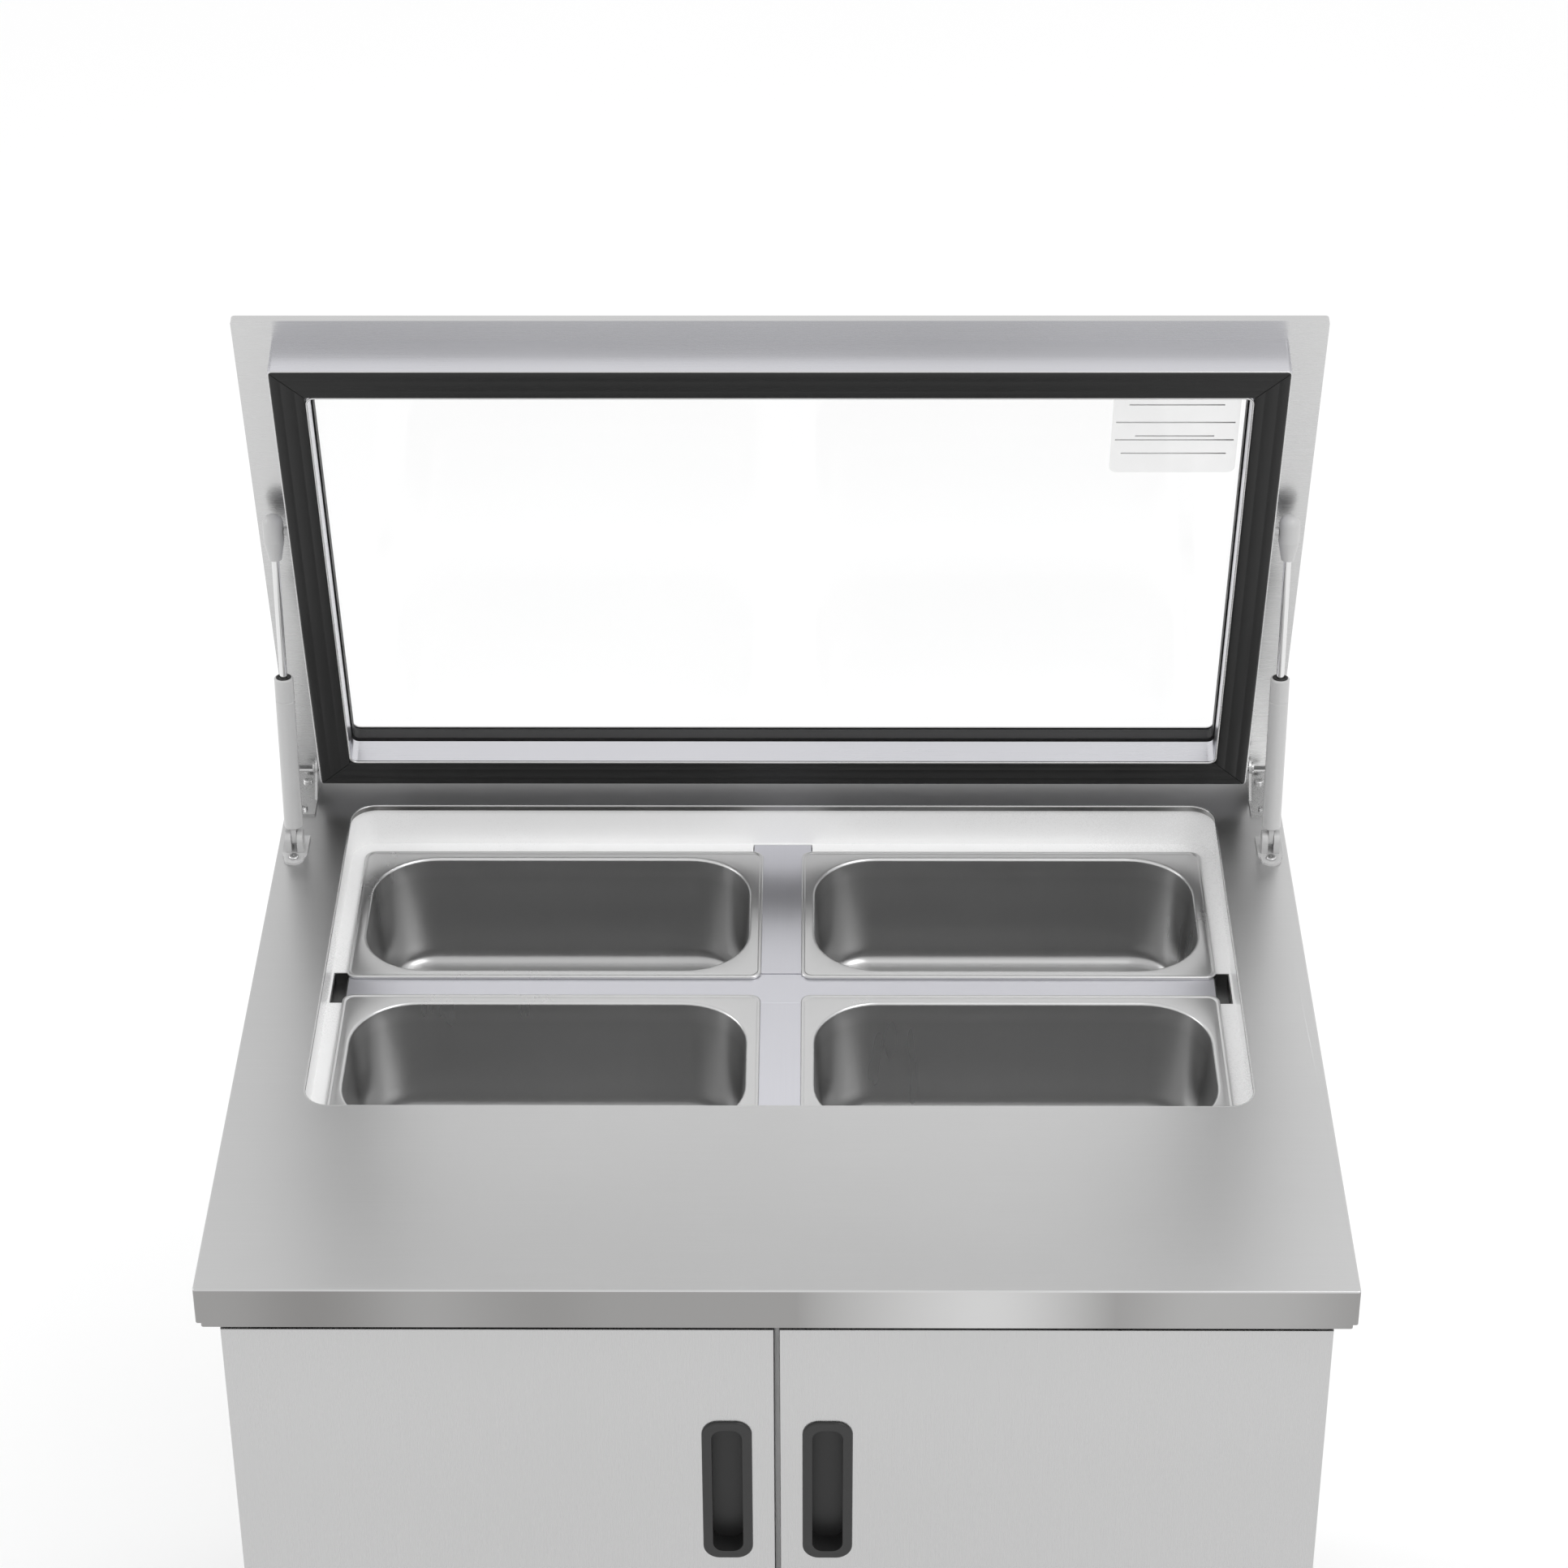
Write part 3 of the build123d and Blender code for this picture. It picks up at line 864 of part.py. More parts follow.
# ---- Controls: a bezel with a rocker switch and a thermostat knob
KNOB_X = CONTROL_X + CONTROL_SPREAD
ROCKER_X = CONTROL_X - CONTROL_SPREAD
with BuildPart() as control_bezel:
    slab(CONTROL_SIZE, (CONTROL_X, CONTROL_Z), (0, BEZEL), 6.0, grille_front)
    fillet(control_bezel.faces().sort_by(Axis.Y)[0].edges(), 1.2)
    slab((CONTROL_SIZE[0] - 13.0, CONTROL_SIZE[1] - 13.0), (CONTROL_X, CONTROL_Z), (-20.0, 0), 3.5,
         grille_front)
    slab((ROCKER_SIZE[0] + ROCKER_GAP, ROCKER_SIZE[1] + ROCKER_GAP), (ROCKER_X, CONTROL_Z),
         (-12.0, BEZEL), ROCKER_GAP, grille_front, Mode.SUBTRACT)
    with Locations((ROCKER_X, DOOR_Y, CONTROL_Z)):
        Cylinder(ROCKER_PIN + RUNNING_CLEARANCE, ROCKER_SIZE[0] + 6.0, rotation=(0, 90, 0),
                 mode=Mode.SUBTRACT)
    with BuildSketch(grille_front.offset(-15.0)) as outline:
        with Locations((KNOB_X, CONTROL_Z)):
            Circle(SPINDLE + RUNNING_CLEARANCE)
    extrude(outline.sketch, amount=15.0 + BEZEL, mode=Mode.SUBTRACT)
control_bezel.part.label = "control_bezel"
export_step(control_bezel.part, "parts/control_bezel.step")

with BuildPart(Plane((KNOB_X, DOOR_Y - BEZEL, CONTROL_Z), x_dir=(1, 0, 0), z_dir=(0, -1, 0))) as knob:
    with Locations((0, 0, 0.3)):
        Cylinder(KNOB_RADIUS + 4.0, 2.0, align=(Align.CENTER, Align.CENTER, Align.MIN))
    with Locations((0, 0, 2.3)):
        Cylinder(KNOB_RADIUS, 3.2, align=(Align.CENTER, Align.CENTER, Align.MIN))
    fillet(knob.faces().sort_by(Axis.Y)[0].edges(), 0.6)
    with Locations((0, 0, 2.3)):
        Box(5.0, 2 * KNOB_RADIUS - 6.0, 4.4, align=(Align.CENTER, Align.CENTER, Align.MIN))
    with Locations((0, 0, 0.5)):
        Cylinder(SPINDLE, 15.0, align=(Align.CENTER, Align.CENTER, Align.MAX))
knob.part.label = "thermostat_knob"
export_step(knob.part, "parts/thermostat_knob.step")

rocker_tilt = radians(ROCKER_TILT)
rocker_end = ROCKER_SIZE[1] / 2 - ROCKER_GAP
rocker_plane = Plane((ROCKER_X - ROCKER_SIZE[0] / 2, DOOR_Y, CONTROL_Z),
                     x_dir=(0, cos(rocker_tilt), -sin(rocker_tilt)), z_dir=(1, 0, 0))
with BuildPart() as rocker:
    with BuildSketch(rocker_plane) as outline:
        with BuildLine():
            Polyline((3.5, -rocker_end), (-5.0, -rocker_end), (-2.4, 0), (-5.0, rocker_end),
                     (3.5, rocker_end), (3.5, -rocker_end))
        make_face()
    extrude(outline.sketch, amount=ROCKER_SIZE[0])
    with Locations((ROCKER_X, DOOR_Y, CONTROL_Z)):
        Cylinder(ROCKER_PIN, ROCKER_SIZE[0] + 5.0, rotation=(0, 90, 0))
rocker.part.label = "power_rocker"
export_step(rocker.part, "parts/power_rocker.step")

# ---- Shelf: welded wire grid on four clips in wall strips
PAN_BOTTOM = LEDGE_Z + PAN_RIM_EDGE - PAN_HEIGHT
EVAPORATOR_Z = PAN_BOTTOM - COVER_CLEARANCE - COVER_HEIGHT / 2
SHELF_Z = EVAPORATOR_Z - COVER_HEIGHT / 2 - SHELF_DROP
shelf_half = ROOM_HALF - SHELF_GAP
shelf_y = (SHELL_FRONT + SHELF_FRONT, ROOM_REAR - SHELF_REAR)
shelf_middle = sum(shelf_y) / 2
with BuildPart() as wire_shelf:
    with Locations((0, shelf_y[0], SHELF_Z), (0, shelf_middle, SHELF_Z), (0, shelf_y[1], SHELF_Z)):
        Cylinder(FRAME_WIRE, 2 * shelf_half, rotation=(0, 90, 0))
    with Locations((-shelf_half + 3.0, shelf_middle, SHELF_Z), (shelf_half - 3.0, shelf_middle, SHELF_Z)):
        Cylinder(FRAME_WIRE, shelf_y[1] - shelf_y[0], rotation=(90, 0, 0))
    with Locations((0, shelf_middle, SHELF_Z + 2.0)):
        with GridLocations(2 * (shelf_half - 20.0) / 22, 1.0, 23, 1):
            Cylinder(WIRE, shelf_y[1] - shelf_y[0], rotation=(90, 0, 0))
wire_shelf.part.label = "wire_shelf"
export_step(wire_shelf.part, "parts/wire_shelf.step")

with BuildPart() as shelf_supports:
    for across in (-1, 1):
        for y in (shelf_y[0] + 60.0, shelf_y[1] - 60.0):
            block(sorted((across * ROOM_HALF, across * (ROOM_HALF - 5.0))), (y - 10.0, y + 10.0),
                  (ROOM_FLOOR + 20.0, THROAT_BOTTOM - 60.0))
            block(sorted((across * (ROOM_HALF - 5.0), across * (ROOM_HALF - 22.0))), (y - 7.0, y + 7.0),
                  (SHELF_Z - FRAME_WIRE - CLIP_CLEARANCE - 3.0, SHELF_Z - FRAME_WIRE - CLIP_CLEARANCE))
shelf_supports.part.label = "shelf_supports"
export_step(shelf_supports.part, "parts/shelf_supports.step")


def finned_coil(centre, width, depth, height, fins):
    """Upright fins along X joined by two columns of horizontal tubes."""
    with Locations(centre):
        with GridLocations(width / (fins - 1), 1.0, fins, 1):
            Box(1.6, depth, height)
        for level in range(4):
            z = (level - 1.5) * height / 4
            with Locations((0, -depth / 4, z), (0, depth / 4, z)):
                Cylinder(COIL_PIPE, width + 2 * COIL_PIPE, rotation=(0, 90, 0))


def axial_fan(hub, tip, depth, blades):
    """A hub with pitched blades, about the local z axis."""
    Cylinder(hub, depth)
    with PolarLocations((hub + tip) / 2 - 1.0, blades):
        Box(tip - hub + 2.0, hub * 1.3, 1.6, rotation=(28, 0, 0))


# ---- Refrigeration: compressor, condenser with its fan, drier, lines and evaporator
COMPRESSOR = (COMPRESSOR_INSET[0] - BODY_HALF, BODY_REAR - COMPRESSOR_INSET[1])
STUB_Z = BAY_FLOOR + COMPRESSOR_STUBS
STUB = COMPRESSOR_RADIUS + 10.0
with BuildPart() as compressor:
    with Locations((*COMPRESSOR, BAY_FLOOR + COMPRESSOR_FEET)):
        Cylinder(COMPRESSOR_RADIUS, COMPRESSOR_HEIGHT, align=(Align.CENTER, Align.CENTER, Align.MIN))
    fillet(compressor.faces().sort_by(Axis.Z)[-1].edges(), COMPRESSOR_DOME)
    fillet(compressor.faces().sort_by(Axis.Z)[0].edges(), COMPRESSOR_BELLY)
    with Locations((*COMPRESSOR, BAY_FLOOR + COMPRESSOR_FEET + COMPRESSOR_SEAM)):
        Cylinder(COMPRESSOR_RADIUS + 4.0, 6.0)
    with Locations((*COMPRESSOR, BAY_FLOOR + COMPRESSOR_FEET - COMPRESSOR_PLATE / 2)):
        Box(2 * COMPRESSOR_RADIUS + 60.0, 2 * COMPRESSOR_RADIUS - 10.0, COMPRESSOR_PLATE)
        with GridLocations(2 * COMPRESSOR_RADIUS + 30.0, 2 * COMPRESSOR_RADIUS - 40.0, 2, 2):
            Cylinder(9.0, COMPRESSOR_FEET - COMPRESSOR_PLATE, align=(Align.CENTER, Align.CENTER, Align.MAX))
    with Locations((*COMPRESSOR, STUB_Z)):
        Cylinder(6.0, 2 * STUB, rotation=(0, 90, 0))
compressor.part.label = "compressor"
export_step(compressor.part, "parts/compressor.step")

SHROUD_HEIGHT = BAY_TOP - BAY_FLOOR - SHROUD_CLEARANCE
CONDENSER_HEIGHT = SHROUD_HEIGHT - 10.0
CONDENSER = (COMPRESSOR[0] + CONDENSER_STEP, SHELL_FRONT + 24.0,
             BAY_FLOOR + SHROUD_LIFT + SHROUD_HEIGHT / 2)
with BuildPart() as condenser_coil:
    finned_coil(CONDENSER, CONDENSER_WIDTH, COIL_DEPTH, CONDENSER_HEIGHT, 31)
condenser_coil.part.label = "condenser_coil"
export_step(condenser_coil.part, "parts/condenser_coil.step")

FAN_TIP = SHROUD_HEIGHT / 2 - SHROUD_RIM
fan_plane = Plane((CONDENSER[0], CONDENSER[1] + FAN_STEP, CONDENSER[2]), x_dir=(1, 0, 0), z_dir=(0, -1, 0))
with BuildPart(fan_plane) as fan:
    axial_fan(18.0, FAN_TIP, 14.0, 5)
    Cylinder(SPINDLE, 30.0, align=(Align.CENTER, Align.CENTER, Align.MAX))
fan.part.label = "condenser_fan"
export_step(fan.part, "parts/condenser_fan.step")

with BuildPart(fan_plane) as shroud:
    Box(SHROUD_WIDTH, SHROUD_HEIGHT, SHROUD_DEPTH)
    Cylinder(FAN_TIP + 4.0, SHROUD_DEPTH, mode=Mode.SUBTRACT)
    with Locations((0, 0, -SHROUD_DEPTH / 2)):
        Box(SHROUD_WIDTH, SHROUD_SPIDER, 4.0, align=(Align.CENTER, Align.CENTER, Align.MAX))
        Box(SHROUD_SPIDER, SHROUD_HEIGHT, 4.0, align=(Align.CENTER, Align.CENTER, Align.MAX))
        Cylinder(24.0, 34.0, align=(Align.CENTER, Align.CENTER, Align.MAX))
        Cylinder(SPINDLE + RUNNING_CLEARANCE, 60.0, mode=Mode.SUBTRACT)
    with Locations((0, -SHROUD_HEIGHT / 2, 0)):
        Box(60.0, SHROUD_LIFT, 3.0, align=(Align.CENTER, Align.MAX, Align.CENTER))
shroud.part.label = "condenser_fan_shroud"
export_step(shroud.part, "parts/condenser_fan_shroud.step")

coil_end = CONDENSER_WIDTH / 2 + COIL_PIPE
pipe_y = CONDENSER[1] + COIL_DEPTH / 4
pipe_z = 1.5 * CONDENSER_HEIGHT / 4
DRIER = (CONDENSER[0] + coil_end + DRIER_STEP, CONDENSER[1] + DRIER_BACK, STUB_Z - DRIER_DROP)
rear_run = SHELL_REAR - LINE_SETBACK
down_x = COMPRESSOR[0] + STUB + LINE_OUT[0]
suction_x = COMPRESSOR[0] - STUB - LINE_OUT[1]
line_routes = [
    [(COMPRESSOR[0] + STUB, COMPRESSOR[1], STUB_Z), (down_x, COMPRESSOR[1], STUB_Z),
     (down_x, pipe_y, CONDENSER[2] + pipe_z), (CONDENSER[0] - coil_end, pipe_y, CONDENSER[2] + pipe_z)],
    [(CONDENSER[0] + coil_end, pipe_y, CONDENSER[2] - pipe_z), (DRIER[0], pipe_y, CONDENSER[2] - pipe_z),
     DRIER],
    [(DRIER[0], DRIER[1] + DRIER_REACH, DRIER[2]), (DRIER[0], rear_run, DRIER[2]), (DRIER[0], rear_run, BAY_TOP)],
    [(COMPRESSOR[0] - STUB, COMPRESSOR[1], STUB_Z), (suction_x, COMPRESSOR[1], STUB_Z),
     (suction_x, rear_run, STUB_Z), (suction_x, rear_run, BAY_TOP)],
]
with BuildPart() as refrigerant_lines:
    with Locations((DRIER[0], DRIER[1] + DRIER_REACH / 2, DRIER[2])):
        Cylinder(DRIER_RADIUS, DRIER_LENGTH, rotation=(90, 0, 0))
        Cylinder(5.0, DRIER_REACH, rotation=(90, 0, 0))
    for route in line_routes:
        with BuildLine() as path:
            FilletPolyline(*route, radius=LINE_BEND)
        start = Vector(*route[1]) - Vector(*route[0])
        with BuildSketch(Plane(route[0], z_dir=start)) as section:
            Circle(LINE_RADIUS)
        sweep(section.sketch, path=path.line)
refrigerant_lines.part.label = "refrigerant_lines"
export_step(refrigerant_lines.part, "parts/refrigerant_lines.step")

EVAPORATOR = (EVAPORATOR_X, ROOM_REAR - 22.0, EVAPORATOR_Z)
with BuildPart() as evaporator_coil:
    finned_coil(EVAPORATOR, EVAPORATOR_WIDTH, COIL_DEPTH, COVER_HEIGHT - 30.0, 21)
evaporator_coil.part.label = "evaporator_coil"
export_step(evaporator_coil.part, "parts/evaporator_coil.step")

COVER_Y = ROOM_REAR - COVER_DEPTH
cover_rise = COVER_HEIGHT / 2
inside_half = COVER_HALF - COVER_SHEET
inside_rise = cover_rise - COVER_SHEET
with BuildPart() as evaporator_cover:
    block((-COVER_HALF, COVER_HALF), (COVER_Y, ROOM_REAR),
          (EVAPORATOR_Z - cover_rise, EVAPORATOR_Z + cover_rise))
    fillet(evaporator_cover.faces().sort_by(Axis.Y)[0].edges(), 6.0)
    block((-inside_half, inside_half), (COVER_Y + COVER_SHEET, ROOM_REAR),
          (EVAPORATOR_Z - inside_rise, EVAPORATOR_Z + inside_rise), Mode.SUBTRACT)
    with BuildSketch(Plane((0, COVER_Y, 0), x_dir=(1, 0, 0), z_dir=(0, -1, 0))) as outline:
        with Locations((ROOM_FAN_X, EVAPORATOR_Z)):
            Circle(52.0)
            Circle(44.0, mode=Mode.SUBTRACT)
            Circle(36.0)
            Circle(28.0, mode=Mode.SUBTRACT)
            Circle(20.0)
            Rectangle(106.0, 5.0, mode=Mode.SUBTRACT)
            Rectangle(5.0, 106.0, mode=Mode.SUBTRACT)
        with Locations((EVAPORATOR_X, EVAPORATOR_Z)):
            with GridLocations(1.0, 18.0, 1, 7):
                SlotOverall(EVAPORATOR_WIDTH - 20.0, 7.0)
    extrude(outline.sketch, amount=-COVER_SHEET, mode=Mode.SUBTRACT)
evaporator_cover.part.label = "evaporator_cover"
export_step(evaporator_cover.part, "parts/evaporator_cover.step")

with BuildPart(Plane((ROOM_FAN_X, COVER_Y + 16.0, EVAPORATOR_Z), x_dir=(1, 0, 0),
                     z_dir=(0, -1, 0))) as room_fan:
    axial_fan(16.0, 50.0, 12.0, 5)
    Cylinder(SPINDLE, 14.0, align=(Align.CENTER, Align.CENTER, Align.MAX))
room_fan.part.label = "evaporator_fan"
export_step(room_fan.part, "parts/evaporator_fan.step")

with BuildPart(Plane((ROOM_FAN_X, ROOM_REAR, EVAPORATOR_Z), x_dir=(1, 0, 0), z_dir=(0, -1, 0))) as motor:
    Box(80.0, 12.0, 3.0, align=(Align.CENTER, Align.CENTER, Align.MIN))
    Cylinder(20.0, 32.0, align=(Align.CENTER, Align.CENTER, Align.MIN))
    with Locations((0, 0, 20.0)):
        Cylinder(SPINDLE + RUNNING_CLEARANCE, 40.0, align=(Align.CENTER, Align.CENTER, Align.MIN),
                 mode=Mode.SUBTRACT)
motor.part.label = "evaporator_fan_motor"
export_step(motor.part, "parts/evaporator_fan_motor.step")
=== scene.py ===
import json
from math import cos, pi, radians, sin

import bpy
import numpy as np
from mathutils import Matrix, Vector


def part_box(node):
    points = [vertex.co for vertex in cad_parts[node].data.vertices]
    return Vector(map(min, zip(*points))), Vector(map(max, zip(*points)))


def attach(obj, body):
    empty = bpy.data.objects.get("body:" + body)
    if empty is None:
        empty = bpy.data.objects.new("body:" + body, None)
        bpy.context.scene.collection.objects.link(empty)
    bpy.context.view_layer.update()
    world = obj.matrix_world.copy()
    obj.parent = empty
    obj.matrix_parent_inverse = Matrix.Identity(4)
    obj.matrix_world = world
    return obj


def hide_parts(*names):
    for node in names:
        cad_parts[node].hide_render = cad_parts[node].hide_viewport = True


# The looks of a refrigerated sandwich prep table: brushed and drawn steel, glazing, rubber and
# moulded pieces round the fixed frame. Metres; +X is to the right, +Y to the back, +Z up.

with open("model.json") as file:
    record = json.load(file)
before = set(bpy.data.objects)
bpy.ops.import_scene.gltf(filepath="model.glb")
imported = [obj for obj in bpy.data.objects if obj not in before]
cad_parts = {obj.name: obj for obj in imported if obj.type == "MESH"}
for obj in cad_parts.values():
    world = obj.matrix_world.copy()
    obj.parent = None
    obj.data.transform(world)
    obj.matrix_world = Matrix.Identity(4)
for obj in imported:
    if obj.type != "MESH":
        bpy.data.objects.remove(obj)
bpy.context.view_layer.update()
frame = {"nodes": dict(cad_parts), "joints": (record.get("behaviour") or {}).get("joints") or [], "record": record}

MM = 0.001

# ---- Places that the frame gives
JOINTS = {joint["name"]: joint for joint in frame["joints"]}
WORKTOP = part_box("worktop")
TOP_Z = WORKTOP[1].z
LEDGE_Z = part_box("crossbar")[1].z
HINGE = np.array(JOINTS["lid_hinge"]["pos_m"])
LID_OPEN = radians(75.0)
ALONG = np.array((0, -cos(LID_OPEN), sin(LID_OPEN)))    # from the hinge to the lid's free edge
OUT = np.array((0, -sin(LID_OPEN), -cos(LID_OPEN)))     # out of the lid's gasket face
ACROSS = np.array((1.0, 0, 0))


# ---- Shader maths and nodes
class Socket:
    """One shader output that takes part in arithmetic; each operation adds a Math node."""

    def __init__(self, finish, link):
        self.finish = finish
        self.link = link

    def maths(self, operation, first, second):
        """A Math node on two values, each a socket or a number."""
        return self.finish.value("ShaderNodeMath", {"operation": operation}, {0: first, 1: second})

    def __add__(self, other):
        return self.maths("ADD", self, other)

    __radd__ = __add__

    def __sub__(self, other):
        return self.maths("SUBTRACT", self, other)

    def __rsub__(self, other):
        return self.maths("SUBTRACT", other, self)

    def __mul__(self, other):
        return self.maths("MULTIPLY", self, other)

    __rmul__ = __mul__

    def __pow__(self, other):
        return self.maths("POWER", self, other)

    def __lt__(self, other):
        return self.maths("LESS_THAN", self, other)

    def clamp(self, low=0.0, high=1.0):
        """This value held between two limits."""
        return self.maths("MINIMUM", self.maths("MAXIMUM", self, low), high)


class Finish:
    """A material being made, with one method that adds any node."""

    def __init__(self, name):
        self.material = bpy.data.materials.new(name)
        self.material.use_nodes = True
        self.tree = self.material.node_tree
        self.tree.nodes.clear()

    def value(self, kind, settings=None, sockets=None, output=0):
        """One output of a new node: its settings are made first, then its sockets are filled."""
        made = self.tree.nodes.new(kind)
        for key, setting in (settings or {}).items():
            setattr(made, key, setting)
        for key, filling in (sockets or {}).items():
            if isinstance(filling, Socket):
                self.tree.links.new(filling.link, made.inputs[key])
            else:
                made.inputs[key].default_value = filling
        return Socket(self, made.outputs[output]) if made.outputs else made

    def place(self):
        """Object coordinates, which lie in the frame's metres."""
        return self.value("ShaderNodeTexCoord", output="Object")

    def height(self):
        """The z part of the object coordinates."""
        return self.value("ShaderNodeSeparateXYZ", None, {0: self.place()}, 2)

    def noise(self, scale, detail=2.0):
        """Noise whose grain is long on an axis where its scale is small."""
        spot = self.value("ShaderNodeMapping", None, {"Vector": self.place(), "Scale": scale})
        return self.value("ShaderNodeTexNoise", None, {"Vector": spot, "Scale": 1.0, "Detail": detail})

    def mix(self, share, first, second):
        """A colour between two others."""
        return self.value("ShaderNodeMix", {"data_type": "RGBA"}, {0: share, 6: first, 7: second}, 2)

    def bump(self, height, strength, distance):
        """A normal pushed in and out by a height."""
        return self.value("ShaderNodeBump", None,
                          {"Height": height, "Strength": strength, "Distance": distance})

    def surface(self, sockets):
        """Close the material with a principled surface."""
        shader = self.value("ShaderNodeBsdfPrincipled", None, sockets)
        self.value("ShaderNodeOutputMaterial", None, {"Surface": shader})
        return self.material


def grey(level, tint=(1, 1, 1)):
    """An opaque grey with a slight tint."""
    return (level * tint[0], level * tint[1], level * tint[2], 1)


def brushed_steel(name, level, along, roughness, tint=(1, 1, 1)):
    """Steel brushed along one axis: fine long scratches in tone, gloss and relief, over a slow
    change of tone along the brushing and faint cloudy smears."""
    finish = Finish(name)
    fine = [2200.0] * 3
    fine[along] = 9.0
    broad = [0.0] * 3
    broad[along] = 3.1
    scratches = finish.noise(fine, 3.0)
    slow = finish.noise(broad, 1.0)
    clouds = finish.noise((4.0, 4.0, 4.0), 3.0)
    tone = 0.5 + (scratches - 0.5) * 0.45 + (slow - 0.5) * 1.4 + (clouds - 0.5) * 0.3
    return finish.surface({
        "Base Color": finish.mix(tone.clamp(), grey(level * 0.93, tint), grey(level * 1.07, tint)),
        "Metallic": 1.0,
        "Roughness": (roughness - 0.05 + scratches * 0.06 + clouds * 0.05).clamp(0.05, 1.0),
        "Normal": finish.bump(scratches, 0.06, 0.0001),
    })


def worktop_steel(name):
    """Brushed worktop sheet with painted light. Below its top edge the fascia is painted darker as a painted dark
    reflection, with slow painted reflection bands and one painted highlight strip along its length. On the top,
    over the sheet's own scratches and clouds, the left end is painted a shade darker than the right as painted
    shade."""
    finish = Finish(name)
    scratches = finish.noise((9.0, 2200.0, 2200.0), 3.0)
    clouds = finish.noise((3.0, 3.0, 3.0), 3.0)
    across = finish.value("ShaderNodeSeparateXYZ", None, {0: finish.place()}, 0)
    # Painted reflection on the fascia: slow dark bands along x, and a painted highlight strip centred at x = 0.125
    # m.
    painted_reflection_bands = finish.noise((5.0, 0.0, 0.0), 1.0)
    offset = (across - 0.125) * 9.0
    painted_highlight = (1.0 - offset * offset).clamp()
    # Below the top edge the fascia takes the darker painted-reflection colour; on the top, across * 0.5 is painted
    # shade, darker to the left.
    fascia_painted_shade_mask = finish.height() < TOP_Z - 1.2 * MM
    top = finish.mix((0.55 + across * 0.5 + (clouds - 0.5) * 0.5 + (scratches - 0.5) * 0.3).clamp(),
                     grey(0.5), grey(0.64))
    edge = finish.mix(((painted_reflection_bands - 0.35) * 1.3 + painted_highlight * 0.7).clamp(), grey(0.22, (1, 0.98, 0.96)),
                      grey(0.62))
    return finish.surface({
        "Base Color": finish.mix(fascia_painted_shade_mask, top, edge),
        "Metallic": 1.0,
        "Roughness": (0.24 + scratches * 0.07 + clouds * 0.06).clamp(0.05, 1.0),
        "Normal": finish.bump(scratches, 0.06, 0.0001),
    })


def drawn_steel_painted_shade(name):
    """Pressed pan steel, satin, with faint draw marks down the walls. The walls below the rim are painted darker
    than the rim, as painted shade inside the pan."""
    finish = Finish(name)
    grain = finish.noise((90.0, 90.0, 5.0), 1.0)
    clouds = finish.noise((8.0, 8.0, 6.0), 2.0)
    # Painted shade: colour turns from the rim's tone to the darker wall tone within a few millimetres below the
    # ledge.
    depth = ((LEDGE_Z - finish.height()) * 60.0).clamp()
    deep = finish.mix((0.5 + (grain - 0.5) * 0.12 + (clouds - 0.5) * 0.3).clamp(), grey(0.4), grey(0.5))
    rim = finish.mix((0.5 + (clouds - 0.5) * 0.6).clamp(), grey(0.56), grey(0.66))
    return finish.surface({
        "Base Color": finish.mix(depth, rim, deep),
        "Metallic": 1.0,
        "Roughness": (0.25 + grain * 0.02 + clouds * 0.05).clamp(0.05, 1.0),
        "Normal": finish.bump(grain, 0.02, 0.0001),
    })


def coated(name, level, roughness, metallic=0.0, tint=(1, 1, 1), speckle=900.0, relief=0.06, coat=0.0,
           shine=0.5):
    """Paint, plastic or rubber: a fine speckle and broad clouds in tone, gloss and relief."""
    finish = Finish(name)
    fine = finish.noise((speckle, speckle, speckle), 2.0)
    clouds = finish.noise((6.0, 6.0, 6.0), 3.0)
    tone = (fine * 0.4 + clouds * 0.6).clamp()
    return finish.surface({
        "Base Color": finish.mix(tone, grey(level * 0.92, tint), grey(min(level * 1.08, 0.96), tint)),
        "Metallic": metallic,
        "Roughness": (roughness - 0.05 + fine * 0.05 + clouds * 0.05).clamp(0.03, 1.0),
        "Specular IOR Level": shine,
        "Coat Weight": coat,
        "Normal": finish.bump(fine, relief, 0.0002),
    })


def glazing(name):
    """Clear float glass: see-through, with a faint gloss that grows at a slant and a few smears."""
    finish = Finish(name)
    smears = finish.noise((10.0, 10.0, 3.0), 3.0)
    clear = finish.value("ShaderNodeBsdfTransparent", None, {"Color": (0.995, 0.995, 0.995, 1)})
    gloss = finish.value("ShaderNodeBsdfGlossy", None, {"Color": (1, 1, 1, 1), "Roughness": 0.04})
    facing = finish.value("ShaderNodeLayerWeight", None, {"Blend": 0.5}, 1)
    share = (facing ** 4.0) * 0.3 + 0.006 + smears * 0.008
    body = finish.value("ShaderNodeMixShader", None, {0: share.clamp(), 1: clear, 2: gloss})
    finish.value("ShaderNodeOutputMaterial", None, {"Surface": body})
    return finish.material


def clear_film(name, share):
    """A see-through printed film: a thin share of matt ink over clear plastic."""
    finish = Finish(name)
    clouds = finish.noise((40.0, 40.0, 40.0), 2.0)
    clear = finish.value("ShaderNodeBsdfTransparent", None, {"Color": (1, 1, 1, 1)})
    ink = finish.value("ShaderNodeBsdfDiffuse", None, {"Color": grey(0.9)})
    body = finish.value("ShaderNodeMixShader", None, {0: share + clouds * 0.03, 1: clear, 2: ink})
    finish.value("ShaderNodeOutputMaterial", None, {"Surface": body})
    return finish.material


